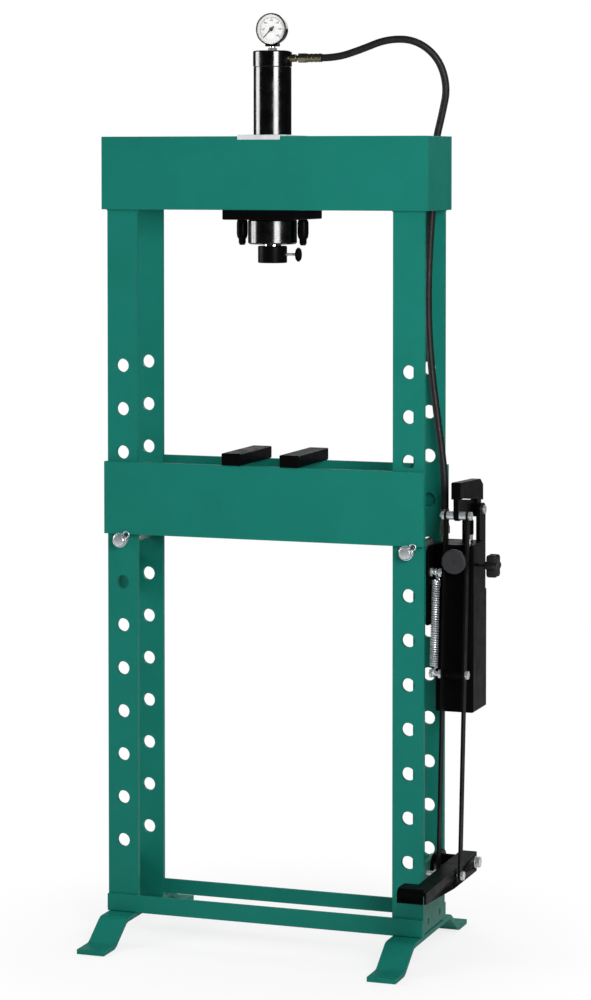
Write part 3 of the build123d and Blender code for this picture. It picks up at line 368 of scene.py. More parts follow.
# Turns (radius, distance) pairs about an axis through centre; ends on the axis are closed.
def lathe(name, profile, centre, axis="z", segments=72, edge=0.0004, closed=False):
    work = bmesh.new()
    rings = []
    for radius, along in profile:
        if radius == 0:
            rings.append([work.verts.new((0, 0, along))])
            continue
        places = arc(radius, 0, 2 * math.pi, segments)[:-1]
        rings.append([work.verts.new((across, up, along)) for across, up in places])
    pairs = list(zip(rings, rings[1:])) + ([(rings[-1], rings[0])] if closed else [])
    for low, high in pairs:
        for step in range(segments):
            after = (step + 1) % segments
            turns = ((low, step), (low, after), (high, after), (high, step))
            corners = [ring[turn % len(ring)] for ring, turn in turns]
            work.faces.new(list(dict.fromkeys(corners)))     # three where a ring is a single point
    bmesh.ops.recalc_face_normals(work, faces=work.faces)
    bmesh.ops.transform(work, matrix=Matrix.Translation(centre) @ axisTurn[axis], verts=work.verts)
    piece = newObject(name, meshFrom(work, name))
    return roundEdges(piece, edge) if edge else smooth(piece)


def newTree(name, sockets):
    tree = bpy.data.node_groups.new(name, "GeometryNodeTree")
    tree.interface.new_socket("Geometry", in_out="OUTPUT", socket_type="NodeSocketGeometry")
    for label, kind, value in sockets:
        socket = tree.interface.new_socket(label, in_out="INPUT", socket_type="NodeSocket" + kind)
        if value is not None:
            socket.default_value = value
    return tree, tree.nodes.new("NodeGroupInput"), tree.nodes.new("NodeGroupOutput")


def endTree(tree, given, output, last, geometry):
    realize = addNode(tree, "GeometryNodeRealizeInstances")
    colour = addNode(tree, "GeometryNodeSetMaterial")
    connect(tree, (last, geometry, realize, "Geometry"), (realize, "Geometry", colour, "Geometry"),
            (given, "Finish", colour, "Material"), (colour, "Geometry", output, "Geometry"))
    return tree


# A round wire wound about the Z axis from its foot upwards.
def coilTree():
    tree, given, output = newTree("coil", [
        ("Turns", "Float", 10.0), ("Radius", "Float", 0.01), ("Height", "Float", 0.1),
        ("Wire", "Float", 0.001), ("Finish", "Material", None)])
    spiral = addNode(tree, "GeometryNodeCurveSpiral", {"Resolution": 20})
    section = addNode(tree, "GeometryNodeCurvePrimitiveCircle", {"Resolution": 10})
    sweep = addNode(tree, "GeometryNodeCurveToMesh", {"Fill Caps": True})
    connect(tree, (given, "Turns", spiral, "Rotations"), (given, "Radius", spiral, "Start Radius"),
            (given, "Radius", spiral, "End Radius"), (given, "Height", spiral, "Height"),
            (given, "Wire", section, "Radius"), (spiral, "Curve", sweep, "Curve"),
            (section, "Curve", sweep, "Profile Curve"))
    return endTree(tree, given, output, sweep, "Mesh")


# Beads along a straight line, each smaller than Size by up to Spread of it.
def beadTree():
    tree, given, output = newTree("row of beads", [
        ("Count", "Int", 10), ("Start", "Vector", None), ("Step", "Vector", None), ("Size", "Vector", None),
        ("Spread", "Float", 0.0), ("Seed", "Int", 3), ("Finish", "Material", None)])
    line = addNode(tree, "GeometryNodeMeshLine")
    put = addNode(tree, "GeometryNodeInstanceOnPoints")
    vary = addNode(tree, "FunctionNodeRandomValue", data_type="FLOAT")
    least = addNode(tree, "ShaderNodeMath", {0: 1.0}, operation="SUBTRACT")
    bead = addNode(tree, "GeometryNodeMeshUVSphere", {"Segments": 10, "Rings": 6, "Radius": 0.5})
    scale = addNode(tree, "ShaderNodeVectorMath", operation="SCALE")
    smallest, largest = [socket for socket in vary.inputs if socket.type == "VALUE" and socket.enabled][:2]
    largest.default_value = 1.0
    drawn = [socket for socket in vary.outputs if socket.enabled][0]
    tree.links.new(least.outputs[0], smallest)
    tree.links.new(drawn, scale.inputs["Scale"])
    connect(tree, (given, "Count", line, "Count"), (given, "Start", line, "Start Location"),
            (given, "Step", line, "Offset"), (line, "Mesh", put, "Points"), (bead, "Mesh", put, "Instance"),
            (given, "Spread", least, 1), (given, "Seed", vary, "Seed"), (given, "Size", scale, 0),
            (scale, "Vector", put, "Scale"))
    return endTree(tree, given, output, put, "Instances")


# Blocks on part of a circle in the XY plane, each pointing outwards.
def ringTree():
    tree, given, output = newTree("ring of blocks", [
        ("Count", "Int", 12), ("Radius", "Float", 0.01), ("Start", "Float", 0.0), ("Step", "Float", 0.1),
        ("Size", "Vector", None), ("Finish", "Material", None)])
    line = addNode(tree, "GeometryNodeMeshLine")
    index = addNode(tree, "GeometryNodeInputIndex")
    angle = addNode(tree, "ShaderNodeMath", operation="MULTIPLY_ADD")
    across = addNode(tree, "ShaderNodeMath", operation="COSINE")
    along = addNode(tree, "ShaderNodeMath", operation="SINE")
    point = addNode(tree, "ShaderNodeCombineXYZ")
    scaled = addNode(tree, "ShaderNodeVectorMath", operation="SCALE")
    move = addNode(tree, "GeometryNodeSetPosition")
    where = addNode(tree, "GeometryNodeInputPosition")
    turn = addNode(tree, "FunctionNodeAlignRotationToVector", axis="X")
    block = addNode(tree, "GeometryNodeMeshCube")
    put = addNode(tree, "GeometryNodeInstanceOnPoints")
    connect(tree, (given, "Count", line, "Count"), (index, "Index", angle, 0), (given, "Step", angle, 1),
            (given, "Start", angle, 2), (angle, 0, across, 0), (angle, 0, along, 0), (across, 0, point, "X"),
            (along, 0, point, "Y"), (point, "Vector", scaled, 0), (given, "Radius", scaled, "Scale"),
            (line, "Mesh", move, "Geometry"), (scaled, "Vector", move, "Position"),
            (where, "Position", turn, "Vector"), (given, "Size", block, "Size"),
            (move, "Geometry", put, "Points"), (block, "Mesh", put, "Instance"),
            (turn, "Rotation", put, "Rotation"))
    return endTree(tree, given, output, put, "Instances")


trees = {"coil": coilTree(), "beads": beadTree(), "ring": ringTree()}
print("trees ready")


# Runs a tree on an empty mesh and keeps the mesh that it makes.
def grow(name, tree, settings):
    piece = newObject(name, bpy.data.meshes.new(name))
    modifier = piece.modifiers.new("grow", "NODES")
    modifier.node_group = tree
    for item in tree.interface.items_tree:
        if item.item_type == "SOCKET" and item.in_out == "INPUT" and item.name in settings:
            modifier[item.identifier] = settings[item.name]
    piece.data = evaluatedMesh(piece)
    piece.modifiers.clear()
    piece.data.name = name
    return piece


# A full ring, or part of one where a step is given.
def ringOf(name, count, radius, size, centre, axis, finish, start=0.0, step=None):
    piece = grow(name, trees["ring"], {
        "Count": count, "Radius": radius, "Start": start, "Step": step or 2 * math.pi / count, "Size": size,
        "Finish": finishes[finish]})
    piece.data.transform(Matrix.Translation(centre) @ axisTurn[axis])
    return piece


# A round bar on a smooth curve that its points pull along.
def roundCurve(name, points, thickness, steps, sides, cyclic=False):
    curve = bpy.data.curves.new(name, "CURVE")
    curve.dimensions = "3D"
    spline = curve.splines.new("NURBS")
    spline.points.add(len(points) - 1)
    for point, place in zip(spline.points, points):
        point.co = (*place, 1)
    spline.order_u = 3
    spline.use_endpoint_u = not cyclic
    spline.use_cyclic_u = cyclic
    spline.resolution_u = steps
    curve.bevel_depth = thickness / 2
    curve.bevel_resolution = sides
    curve.use_fill_caps = True
    return curve


def wire(name, points, thickness, sides=6, cyclic=False):
    source = newObject(name + "_curve", roundCurve(name, points, thickness, 8, sides, cyclic))
    piece = newObject(name, evaluatedMesh(source))
    bpy.data.objects.remove(source)
    piece.data.name = name
    return smooth(piece)


# One mesh from several finished ones.
def joined(name, pieces):
    work = bmesh.new()
    for piece in pieces:
        work.from_mesh(piece.data)
    mesh = meshFrom(work, name)
    for piece in pieces:
        bpy.data.objects.remove(piece)
    return smooth(newObject(name, mesh))


hose = {
    "diameter": 0.015,
    "length": 1.1816,
    "steps": 10,
    "sides": 8,
    "ferruleEdge": 0.0004,
    "points": [
        (0.1006, 0, 1.822), (0.133, 0, 1.822), (0.182, 0.002, 1.837), (0.238, 0.008, 1.859),
        (0.296, 0.018, 1.857), (0.340, 0.032, 1.820), (0.355, 0.043, 1.762), (0.342, 0.050, 1.708),
        (0.326, 0.051, 1.645), (0.324, 0.048, 1.545), (0.316, 0.045, 1.420), (0.314, 0.044, 1.300),
        (0.322, 0.042, 1.190), (0.337, 0.036, 1.090), (0.351, 0.027, 1.010), (0.358, 0.020, 0.960),
        (0.358, 0.020, 0.906),
    ],
}


def makeHose():
    curve = roundCurve("pressureHose", hose["points"], hose["diameter"], hose["steps"], hose["sides"])
    piece = newObject("pressureHose", curve)
    settle(piece, "frame", "hose_rubber", "hose")
    ferrules = dressNode("hose_ferrules", hose["ferruleEdge"])


makeHose()
print("hose laid")


edgeWidths = {
    0.0009: ["left_front_upright", "left_rear_upright", "right_front_upright", "right_rear_upright",
             "head_front_plate", "head_rear_plate", "head_end_plates", "base_rails", "left_foot",
             "right_foot", "left_base_tie", "right_base_tie", "middle_tie_plates", "table_front_plate",
             "table_rear_plate", "table_spacers", "head_cross_bars", "left_press_block",
             "right_press_block"],
    0.0006: ["cylinder_flange_plate", "pump_mounting_plate", "pump_tank", "pump_body", "rocker_arm",
             "pedal_bracket", "pull_straps"],
    0.0004: ["hose_fittings", "gauge_stem", "pump_bolts", "pivot_pins", "strap_bolts", "gauge_case",
             "filler_spout"],
    0.0001: ["gauge_pointer"],
}
ownFinishes = {"clamp_studs": (0.0004, "black_paint"), "cylinder_guide_plate": (0.0009, "guide_plate")}
spacers = {"edge": 0.0004, "blackBelow": 0.7}
bareNodes = ["piston", "piston_seal", "piston_rod", "gland_wiper", "gauge_lens"]


def dressPlates():
    for width, names in edgeWidths.items():
        for name in names:
            dressNode(name, width)
    for name, (width, finish) in ownFinishes.items():
        dressNode(name, width, finish)
    dressNode("strap_spacers", spacers["edge"], keep=lambda place: place.z > spacers["blackBelow"])
    dressNode("strap_spacers", spacers["edge"], "black_paint",
              keep=lambda place: place.z < spacers["blackBelow"], tail="_low", replaces=False)
    for name in bareNodes:
        nodeObjects[name].data.materials.clear()
        nodeObjects[name].data.materials.append(finishes[slotOfNode[name]])


dressPlates()
print("plates dressed")


cylinder = {"segments": 96, "bore": 0.030, "capHeight": 0.0335, "lip": 0.0012, "lipInset": 0.001,
            "capRound": 0.003, "glandHeight": 0.051, "rodBore": 0.01806, "wiperBore": 0.0231,
            "wiperHeight": 0.007, "chamfer": 0.003}


def makeCylinderTube(axis):
    low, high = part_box("cylinder_tube")
    outer = (high.x - low.x) / 2
    bore = cylinder["bore"]
    tube = lathe("cylinderTube", [(bore, low.z), (outer, low.z), (outer, high.z), (bore, high.z)], axis,
                 segments=cylinder["segments"], closed=True)
    settle(tube, "frame", "cylinder_paint", "cylinder_tube")


# Rounded at the top, with a small step over the tube.
def makeCylinderCap(axis):
    low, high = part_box("cylinder_cap")
    outer = (high.x - low.x) / 2
    inner = outer - 2 * cylinder["lipInset"]
    base = high.z - cylinder["capHeight"]
    lip = base + cylinder["lip"]
    crown = cylinder["capRound"]
    rounded = arc(crown, 0, math.pi / 2, 6, (outer - crown, high.z - crown))
    cap = lathe("cylinderCap", [(0, base), (inner, base), (inner, lip), (outer, lip), *rounded, (0, high.z)],
                axis, segments=cylinder["segments"])
    settle(cap, "frame", "cylinder_paint", "cylinder_cap")


def makeCylinderGland(axis):
    low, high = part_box("cylinder_gland")
    outer = (high.x - low.x) / 2
    top = low.z + cylinder["glandHeight"]
    seat = low.z + cylinder["wiperHeight"]
    bevel = cylinder["chamfer"]
    gland = lathe("cylinderGland", [
        (cylinder["wiperBore"], low.z), (outer - bevel, low.z), (outer, low.z + bevel), (outer, top - bevel),
        (outer - bevel, top), (cylinder["rodBore"], top), (cylinder["rodBore"], seat),
        (cylinder["wiperBore"], seat)], axis, segments=cylinder["segments"], closed=True)
    settle(gland, "frame", "cylinder_paint", "cylinder_gland")


def makeCylinder():
    axis = (boxOf("cylinder_tube")[2].x, 0, 0)
    makeCylinderTube(axis)
    makeCylinderCap(axis)
    makeCylinderGland(axis)


ramSpring = {"turns": 13.0, "wire": 0.0032, "endGap": 0.0006}


# Return spring round the rod, under the piston; on the press it closes up as the ram comes down, but here it
# is built at rest on the frame.
def makeRamSpring():
    low, high, centre = boxOf("ram_return_spring")
    half = ramSpring["wire"] / 2
    bottom = low.z + half + ramSpring["endGap"]
    length = high.z - half - ramSpring["endGap"] - bottom
    spring = grow("ramReturnSpring", trees["coil"], {
        "Turns": ramSpring["turns"], "Radius": (high.x - low.x) / 2 - half, "Height": length, "Wire": half,
        "Finish": finishes["spring_steel"]})
    spring.data.transform(Matrix.Translation((centre.x, 0, bottom)))
    settle(smooth(spring), "frame", "spring_steel", "ram_return_spring")
    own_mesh(spring)


ramCap = {"segments": 96, "chamfer": 0.0015, "toolBore": 0.010, "toolDepth": 0.012, "rodSocket": 0.0181,
          "socketDepth": 0.0178}


def makeRamCap():
    low, high, centre = boxOf("ram_cap")
    outer = high.x - centre.x
    bevel = ramCap["chamfer"]
    bore = ramCap["toolBore"]
    boreEnd = low.z + ramCap["toolDepth"]
    socket = ramCap["rodSocket"]
    socketEnd = high.z - ramCap["socketDepth"]
    cap = lathe("ramCap", [
        (0, boreEnd), (bore, boreEnd), (bore, low.z), (outer - bevel, low.z), (outer, low.z + bevel),
        (outer, high.z - bevel), (outer - bevel, high.z), (socket, high.z), (socket, socketEnd),
        (0, socketEnd)], (centre.x, 0, 0), segments=ramCap["segments"])
    settle(cap, "ram", "black_paint", "ram_cap")


# The hollow is a share of the disc's radius.
thumbscrew = {"thickness": 0.007, "round": 0.0022, "rimInset": 0.0006, "hollow": 0.45, "hollowDepth": 0.0008,
              "grips": 40, "grip": (0.0016, 0.0011), "gripInset": 0.0008, "stem": 0.003, "stemSides": 32,
              "stemSink": 0.001}


def makeThumbscrew():
    low, high, centre = boxOf("ram_thumbscrew")
    height = centre.z
    radius = high.z - height
    rim = radius - thumbscrew["rimInset"]
    face = high.x - thumbscrew["thickness"]
    floor = high.x - thumbscrew["hollowDepth"]
    crown = thumbscrew["round"]
    disc = lathe("thumbscrewDisc", [
        (0, face), (radius - crown, face), (rim, face + crown), (rim, high.x - crown),
        (radius - crown, high.x), (radius * thumbscrew["hollow"], floor), (0, floor)], (0, 0, height), "x")
    grips = ringOf("thumbscrewGrips", thumbscrew["grips"], radius - thumbscrew["gripInset"],
                   (*thumbscrew["grip"], thumbscrew["thickness"] - 2 * crown),
                   (face + thumbscrew["thickness"] / 2, 0, height), "x", "black_paint")
    settle(joined("ramThumbscrew", [disc, grips]), "thumbscrew", "black_paint", "ram_thumbscrew")
    end = face + thumbscrew["stemSink"]
    radius = thumbscrew["stem"]
    stem = lathe("thumbscrewStem", [(0, low.x), (radius, low.x), (radius, end), (0, end)],
                 (0, 0, height), "x", thumbscrew["stemSides"])
    settle(stem, "thumbscrew", "zinc_plate")


# The steps are (inwards, along) from the barrel's side and from its top or its foot.
clampKnob = {"sides": 48, "radius": 0.0112, "endRadius": 0.0075, "endChamfer": 0.001, "bore": 0.00606,
             "endHeight": 0.010, "topSteps": ((0.003, 0), (0.0008, 0.002), (0, 0.006)),
             "footSteps": ((0, 0.010), (0.0008, 0.004), (0.003, 0)), "ribs": 24,
             "rib": (0.0009, 0.0013, 0.022), "ribInset": 0.0002, "ribDown": 0.018}


def makeClampKnob(side):
    node = side + "_clamp_knob"
    low, high, centre = boxOf(node)
    base = low.z + clampKnob["endHeight"]
    radius, end, bore = clampKnob["radius"], clampKnob["endRadius"], clampKnob["bore"]
    bevel = clampKnob["endChamfer"]
    top = [(radius - inwards, high.z - down) for inwards, down in clampKnob["topSteps"]]
    foot = [(radius - inwards, base + up) for inwards, up in clampKnob["footSteps"]]
    barrel = lathe(node + "Barrel", [
        (bore, high.z), *top, *foot, (end, base), (end, low.z + bevel), (end - bevel, low.z),
        (bore, low.z)], (centre.x, centre.y, 0), "z", clampKnob["sides"], closed=True)
    ribs = ringOf(node + "Ribs", clampKnob["ribs"], radius - clampKnob["ribInset"], clampKnob["rib"],
                  (centre.x, centre.y, high.z - clampKnob["ribDown"]), "z", "black_paint")
    settle(joined(side + "ClampKnob", [barrel, ribs]), side + " clamp knob", "black_paint", node)


makeCylinder()
makeRamSpring()
makeRamCap()
makeThumbscrew()
makeClampKnob("left")
makeClampKnob("right")
print("cylinder turned")


# Angles are in degrees, clockwise from the top; marks are (outwards, sideways, thick).
gauge = {"scaleRadius": 0.0248, "longTick": (0.0042, 0.0006, 0.0003), "shortTick": (0.0022, 0.00028, 0.0003),
         "bandBlock": (0.0003, 0.00135, 0.0003), "bandOut": 0.0004, "first": -135, "sweep": 270, "long": 7,
         "short": 61, "bandBlocks": 90, "step": 100, "figure": 0.0046, "figureRadius": 0.0182,
         "relief": 0.0001}


def gaugeFigure(number):
    turn = math.radians(gauge["first"] + gauge["sweep"] * number / (gauge["long"] - 1))
    text = bpy.data.curves.new("figure", "FONT")
    text.body = str(number * gauge["step"])
    text.size = gauge["figure"]
    text.align_x = "CENTER"
    text.align_y = "CENTER"
    text.extrude = gauge["relief"]
    source = newObject("figureText", text)
    figure = newObject("figure" + str(number), evaluatedMesh(source))
    bpy.data.objects.remove(source)
    radius = gauge["figureRadius"]
    figure.data.transform(Matrix.Translation((radius * math.sin(turn), radius * math.cos(turn), 0)))
    return figure


# Ticks, the band round them and the figures, lying flat about the origin.
def gaugeMarks():
    outer = gauge["scaleRadius"]
    first = math.radians(90 - gauge["first"] - gauge["sweep"])
    rows = [("longTicks", gauge["long"], outer - gauge["longTick"][0] / 2, gauge["longTick"]),
            ("shortTicks", gauge["short"], outer - gauge["shortTick"][0] / 2, gauge["shortTick"]),
            ("scaleBand", gauge["bandBlocks"], outer + gauge["bandOut"], gauge["bandBlock"])]
    marks = []
    for name, count, radius, size in rows:
        step = math.radians(gauge["sweep"]) / (count - 1)
        marks.append(ringOf(name, count, radius, size, (0, 0, 0), "z", "pointer_black", first, step))
    return marks + [gaugeFigure(number) for number in range(gauge["long"])]


def makeGauge():
    low, high, centre = boxOf("gauge_dial")
    radius = high.x - centre.x
    face = lathe("gaugeFace", [(0, low.y), (radius, low.y), (radius, high.y), (0, high.y)],
                 (centre.x, 0, centre.z), "y", edge=0)
    settle(face, "frame", "dial_face", "gauge_dial")
    scale = joined("gaugeScale", gaugeMarks())
    upright = Matrix.Rotation(math.radians(90), 4, "X")
    scale.data.transform(Matrix.Translation((centre.x, low.y - gauge["relief"], centre.z)) @ upright)
    settle(scale, "frame", "pointer_black")


pointerHub = {"radius": 0.004, "round": 0.0004, "lensGap": 0.0002, "sides": 40}


# A black boss over the hand's middle, between the dial and the lens.
def makePointerHub():
    axis = jointNamed["gauge pointer turn"]["pos_m"]
    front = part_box("gauge_lens")[1].y + pointerHub["lensGap"]
    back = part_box("gauge_pointer")[1].y
    radius, crown = pointerHub["radius"], pointerHub["round"]
    hub = lathe("pointerHub", [
        (0, front), (radius - crown, front), (radius, front + crown), (radius, back), (0, back)],
        (axis[0], 0, axis[2]), "y", pointerHub["sides"], edge=0)
    settle(hub, "pointer", "pointer_black")


makeGauge()
makePointerHub()
print("gauge printed")


# Openings are in radians on each side, and the loop stands at a turn in degrees.
tablePin = {"radius": 0.0125, "sides": 64, "chamfer": 0.0015, "clipWire": 0.0026, "clipGap": 0.0015,
            "clipSlack": 1.04, "clipOpening": 0.35, "loop": 0.0065, "loopTurn": 40, "loopOpening": 0.5}


# A bar with a wire clip round it at the front; the clip ends in a finger loop.
def makeTablePin(side):
    node = side + "_table_pin"
    low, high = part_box(node)
    thick = tablePin["clipWire"]
    radius = tablePin["radius"]
    bevel = tablePin["chamfer"]
    centre = Vector((low.x + radius + thick, 0, low.z + radius + thick))
    rod = lathe(node + "Rod", [(0, low.y), (radius - bevel, low.y), (radius, low.y + bevel),
                               (radius, high.y - bevel), (radius - bevel, high.y), (0, high.y)],
                centre, "y", tablePin["sides"])
    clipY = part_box("table_front_plate")[0].y - thick / 2 - tablePin["clipGap"]
    reach = radius + thick / 2
    turn = math.radians(tablePin["loopTurn"])
    away = Vector((math.cos(turn), 0, math.sin(turn)))
    hub = centre + away * (reach + tablePin["loop"] - thick / 2)
    around = arc(reach * tablePin["clipSlack"], turn + tablePin["clipOpening"],
                 turn + 2 * math.pi - tablePin["clipOpening"], 13, (centre.x, centre.z))
    loop = arc(tablePin["loop"], turn + math.pi + tablePin["loopOpening"],
               turn + 3 * math.pi - tablePin["loopOpening"], 8, (hub.x, hub.z))
    clip = wire(node + "Clip", [(x, clipY, z) for x, z in around + loop], thick, cyclic=True)
    settle(joined(side + "TablePin", [rod, clip]), side + " pin", "zinc_plate", node)


makeTablePin("left")
makeTablePin("right")
print("pins turned")


fillerCap = {"segments": 96, "edge": 0.0003, "round": 0.0032, "dimple": 0.0045, "dimpleDepth": 0.0016,
             "neck": 0.010, "thickness": 0.007}


def makeFillerCap():
    low, high, centre = boxOf("tank_filler_cap")
    radius = high.x - centre.x
    crown = fillerCap["round"]
    back = low.y + fillerCap["thickness"]
    dimple, neck = fillerCap["dimple"], fillerCap["neck"]
    sunk = low.y + fillerCap["dimpleDepth"]
    rounded = arc(crown, -math.pi / 2, 0, 5, (radius - crown, low.y + crown))
    cap = lathe("fillerCap", [
        (0, sunk), (dimple, sunk), (dimple, low.y), *rounded, (radius, back), (neck, back), (neck, high.y),
        (0, high.y)], (centre.x, 0, centre.z), "y", fillerCap["segments"], fillerCap["edge"])
    settle(cap, "filler", "knob_plastic", "tank_filler_cap", finish="cap_plastic")


# The crown's steps are (along, inwards) in shares of its rounding.
releaseKnob = {"lobes": 6, "radius": 0.0218, "lobe": 0.0037, "round": 0.004, "steps": 96, "smoothTo": 50,
               "crownSteps": ((0, 1), (0.3, 0.3), (1, 0)), "faceSink": 0.001, "faceInset": 2.4,
               "stem": 0.003, "stemLength": 0.034, "stemSides": 40, "hub": 0.008, "hubLength": 0.006,
               "hubSink": 0.001}


# One outline of the star about the X axis, smaller by inset.
def starRing(work, centre, along, inset):
    verts = []
    for step in range(releaseKnob["steps"]):
        turn = 2 * math.pi * step / releaseKnob["steps"]
        radius = releaseKnob["radius"] + releaseKnob["lobe"] * math.cos(releaseKnob["lobes"] * turn) - inset
        y, z = centre.y + radius * math.cos(turn), centre.z + radius * math.sin(turn)
        verts.append(work.verts.new((along, y, z)))
    return verts


def makeReleaseStar(start, end, centre):
    crown = releaseKnob["round"]
    steps = [(crown * along, crown * inset) for along, inset in releaseKnob["crownSteps"]]
    spans = [(start + along, inset) for along, inset in steps]
    spans += [(end - along, inset) for along, inset in reversed(steps)]
    spans.append((end - releaseKnob["faceSink"], crown * releaseKnob["faceInset"]))
    work = bmesh.new()
    rings = [starRing(work, centre, along, inset) for along, inset in spans]
    for first, second in zip(rings, rings[1:]):
        for step in range(releaseKnob["steps"]):
            after = (step + 1) % releaseKnob["steps"]
            work.faces.new((first[step], first[after], second[after], second[step]))
    work.faces.new(rings[0])
    work.faces.new(rings[-1])
    bmesh.ops.recalc_face_normals(work, faces=work.faces)
    return smooth(newObject("releaseStar", meshFrom(work, "releaseStar")), releaseKnob["smoothTo"])


def makeReleaseKnob():
    low, high, centre = boxOf("release_knob")
    start = low.x + releaseKnob["stemLength"]
    star = makeReleaseStar(start, high.x, centre)
    thin, thick = releaseKnob["stem"], releaseKnob["hub"]
    hubStart, hubEnd = start - releaseKnob["hubLength"], start + releaseKnob["hubSink"]
    stem = lathe("releaseStem", [
        (0, low.x), (thin, low.x), (thin, hubStart), (thick, hubStart), (thick, hubEnd), (0, hubEnd)],
        (0, centre.y, centre.z), "x", releaseKnob["stemSides"])
    settle(joined("releaseKnob", [star, stem]), "release valve", "knob_plastic", "release_knob")


plunger = {"sides": 48, "rod": 0.0075, "rodGap": 0.0002, "rodSink": 0.001, "headHeight": 0.0368,
           "head": 0.009, "tip": 0.008, "rim": 0.0012, "dome": (20, 80)}


# Bright rod with a black head whose domed tip meets the rocker.
def makePlunger():
    low, high, centre = boxOf("pump_plunger")
    base = high.z - plunger["headHeight"]
    foot, top = low.z + plunger["rodGap"], base + plunger["rodSink"]
    rod = lathe("plungerRod", [(0, foot), (plunger["rod"], foot), (plunger["rod"], top), (0, top)],
                (centre.x, centre.y, 0), "z", plunger["sides"])
    settle(rod, "plunger", "chrome_rod", "pump_plunger")
    shoulder = high.z - plunger["tip"]
    radius, rim = plunger["head"], plunger["rim"]
    first, last = map(math.radians, plunger["dome"])
    dome = arc(plunger["tip"], first, last, 6, (0, shoulder))
    head = lathe("plungerHead", [
        (0, base), (radius, base), (radius, shoulder - rim), (radius - rim, shoulder), *dome, (0, high.z)],
        (centre.x, centre.y, 0), "z", plunger["sides"])
    settle(head, "plunger", "black_paint")


makeFillerCap()
makeReleaseKnob()
makePlunger()
print("pump fittings made")


pedal = {"edge": 0.0007, "roll": 0.011, "cuts": 8, "cutGap": 1e-6}


# The lever with the tread's upper front edge rolled over its teeth.
def makePedal():
    low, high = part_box("pedal_lever")
    roll = pedal["roll"]
    middleY, middleZ = low.y + roll, high.z - roll
    work = packedCopy("pedal_lever")
    for cut in range(1, pedal["cuts"] + 1):
        turn = math.radians(90) * cut / pedal["cuts"]
        for place, normal in (((0, low.y + roll * (1 - math.cos(turn)), 0), (0, 1, 0)),
                              ((0, 0, high.z - roll * (1 - math.sin(turn))), (0, 0, 1))):
            bmesh.ops.bisect_plane(work, geom=[*work.verts, *work.edges, *work.faces], dist=pedal["cutGap"],
                                   plane_co=place, plane_no=normal)
    for vert in work.verts:
        ahead, above = middleY - vert.co.y, vert.co.z - middleZ
        reach = math.hypot(ahead, above)
        if ahead > 0 and above > 0 and reach > roll:
            vert.co.y = middleY - ahead * roll / reach
            vert.co.z = middleZ + above * roll / reach
    mergeVertices(work)
    mergeFlatFaces(work)
    lever = newObject("pedalLever", meshFrom(work, "pedalLever"))
    settle(roundEdges(lever, pedal["edge"]), "pedal", "black_paint", "pedal_lever")


# The lead-in is how the wire goes from the coil to its eye: (across, ahead, past the coil's end).
pedalSpring = {"turns": 37, "share": 0.6, "wire": 0.0034, "coilRadius": 0.00705, "eye": 0.0069,
               "eyeOpening": 2.4, "hook": 0.008, "hookSides": 4,
               "leadIn": ((0.006345, 0, 0.003), (0.001, 0.001, 0.0045), (0, 0.003, 0.006))}


# A length of coil between two of its turns, with a hook to the eye at its end; way points to the coil.
def springLength(name, first, pitch, fromTurn, toTurn, end, way):
    eye, radius = pedalSpring["eye"], pedalSpring["coilRadius"]
    coil = grow(name + "Coil", trees["coil"], {
        "Turns": float(toTurn - fromTurn), "Radius": radius, "Height": (toTurn - fromTurn) * pitch,
        "Wire": pedalSpring["wire"] / 2, "Finish": finishes["zinc_plate"]})
    coil.data.transform(Matrix.Translation((0, 0, first + fromTurn * pitch)))
    edge = end + way * first
    leadIn = [(across, ahead, edge - way * past) for across, ahead, past in pedalSpring["leadIn"]]
    loop = [(0, ahead, end - way * along)
            for along, ahead in arc(eye, pedalSpring["eyeOpening"], -pedalSpring["eyeOpening"], 8)]
    hook = wire(name + "Hook", [(radius, 0, edge), *leadIn, *loop], pedalSpring["wire"],
                pedalSpring["hookSides"])
    return joined(name, [coil, hook])


# Two lengths of one coil, one on each bolt, that slide apart along each other as the pedal goes down.
def makePedalSpring():
    low, high, centre = boxOf("pedal_return_spring")
    inset = pedalSpring["eye"] + pedalSpring["wire"] / 2
    bottom = Vector((centre.x, low.y + inset, low.z + inset))
    along = Vector((bottom.x, high.y - inset, high.z - inset)) - bottom
    lean = Matrix.Translation(bottom) @ Vector((0, 0, 1)).rotation_difference(along).to_matrix().to_4x4()
    first = pedalSpring["eye"] + pedalSpring["hook"]
    turns, share = pedalSpring["turns"], pedalSpring["share"]
    pitch = (along.length - 2 * first) / turns
    lower = springLength("springLower", first, pitch, 0, round(turns * share), 0, 1)
    lower.data.transform(lean)
    settle(lower, "straps", "zinc_plate")
    upper = springLength("springUpper", first, pitch, round(turns * (1 - share)), turns, along.length, -1)
    upper.data.transform(lean)
    settle(upper, "frame", "zinc_plate", "pedal_return_spring")


makePedal()
makePedalSpring()
print("spring wound")


weld = {"bead": (0.005, 0.005, 0.0042), "pitch": 0.0024, "spread": 0.25}


# Where beads lie: in the inner corners of ties and bars, and under the head plates.
def weldSeams():
    ties = {-1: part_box("left_base_tie"), 1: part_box("right_base_tie")}
    middleLow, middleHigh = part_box("middle_tie_plates")
    barLow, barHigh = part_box("right_front_upright")
    headLow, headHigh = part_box("head_front_plate")
    inner = ties[1][0].x
    seams = []
    for side, (low, high) in ties.items():
        for y in (barHigh.y, -barHigh.y):
            seams.append(((side * inner, y, low.z), (side * inner, y, high.z)))
            seams.append(((side * inner, y, middleLow.z), (side * inner, y, middleHigh.z)))
        for y in (headHigh.y, -headHigh.y):
            seams.append(((side * barLow.x, y, headLow.z), (side * barHigh.x, y, headLow.z)))
    return [(Vector(start), Vector(end)) for start, end in seams]


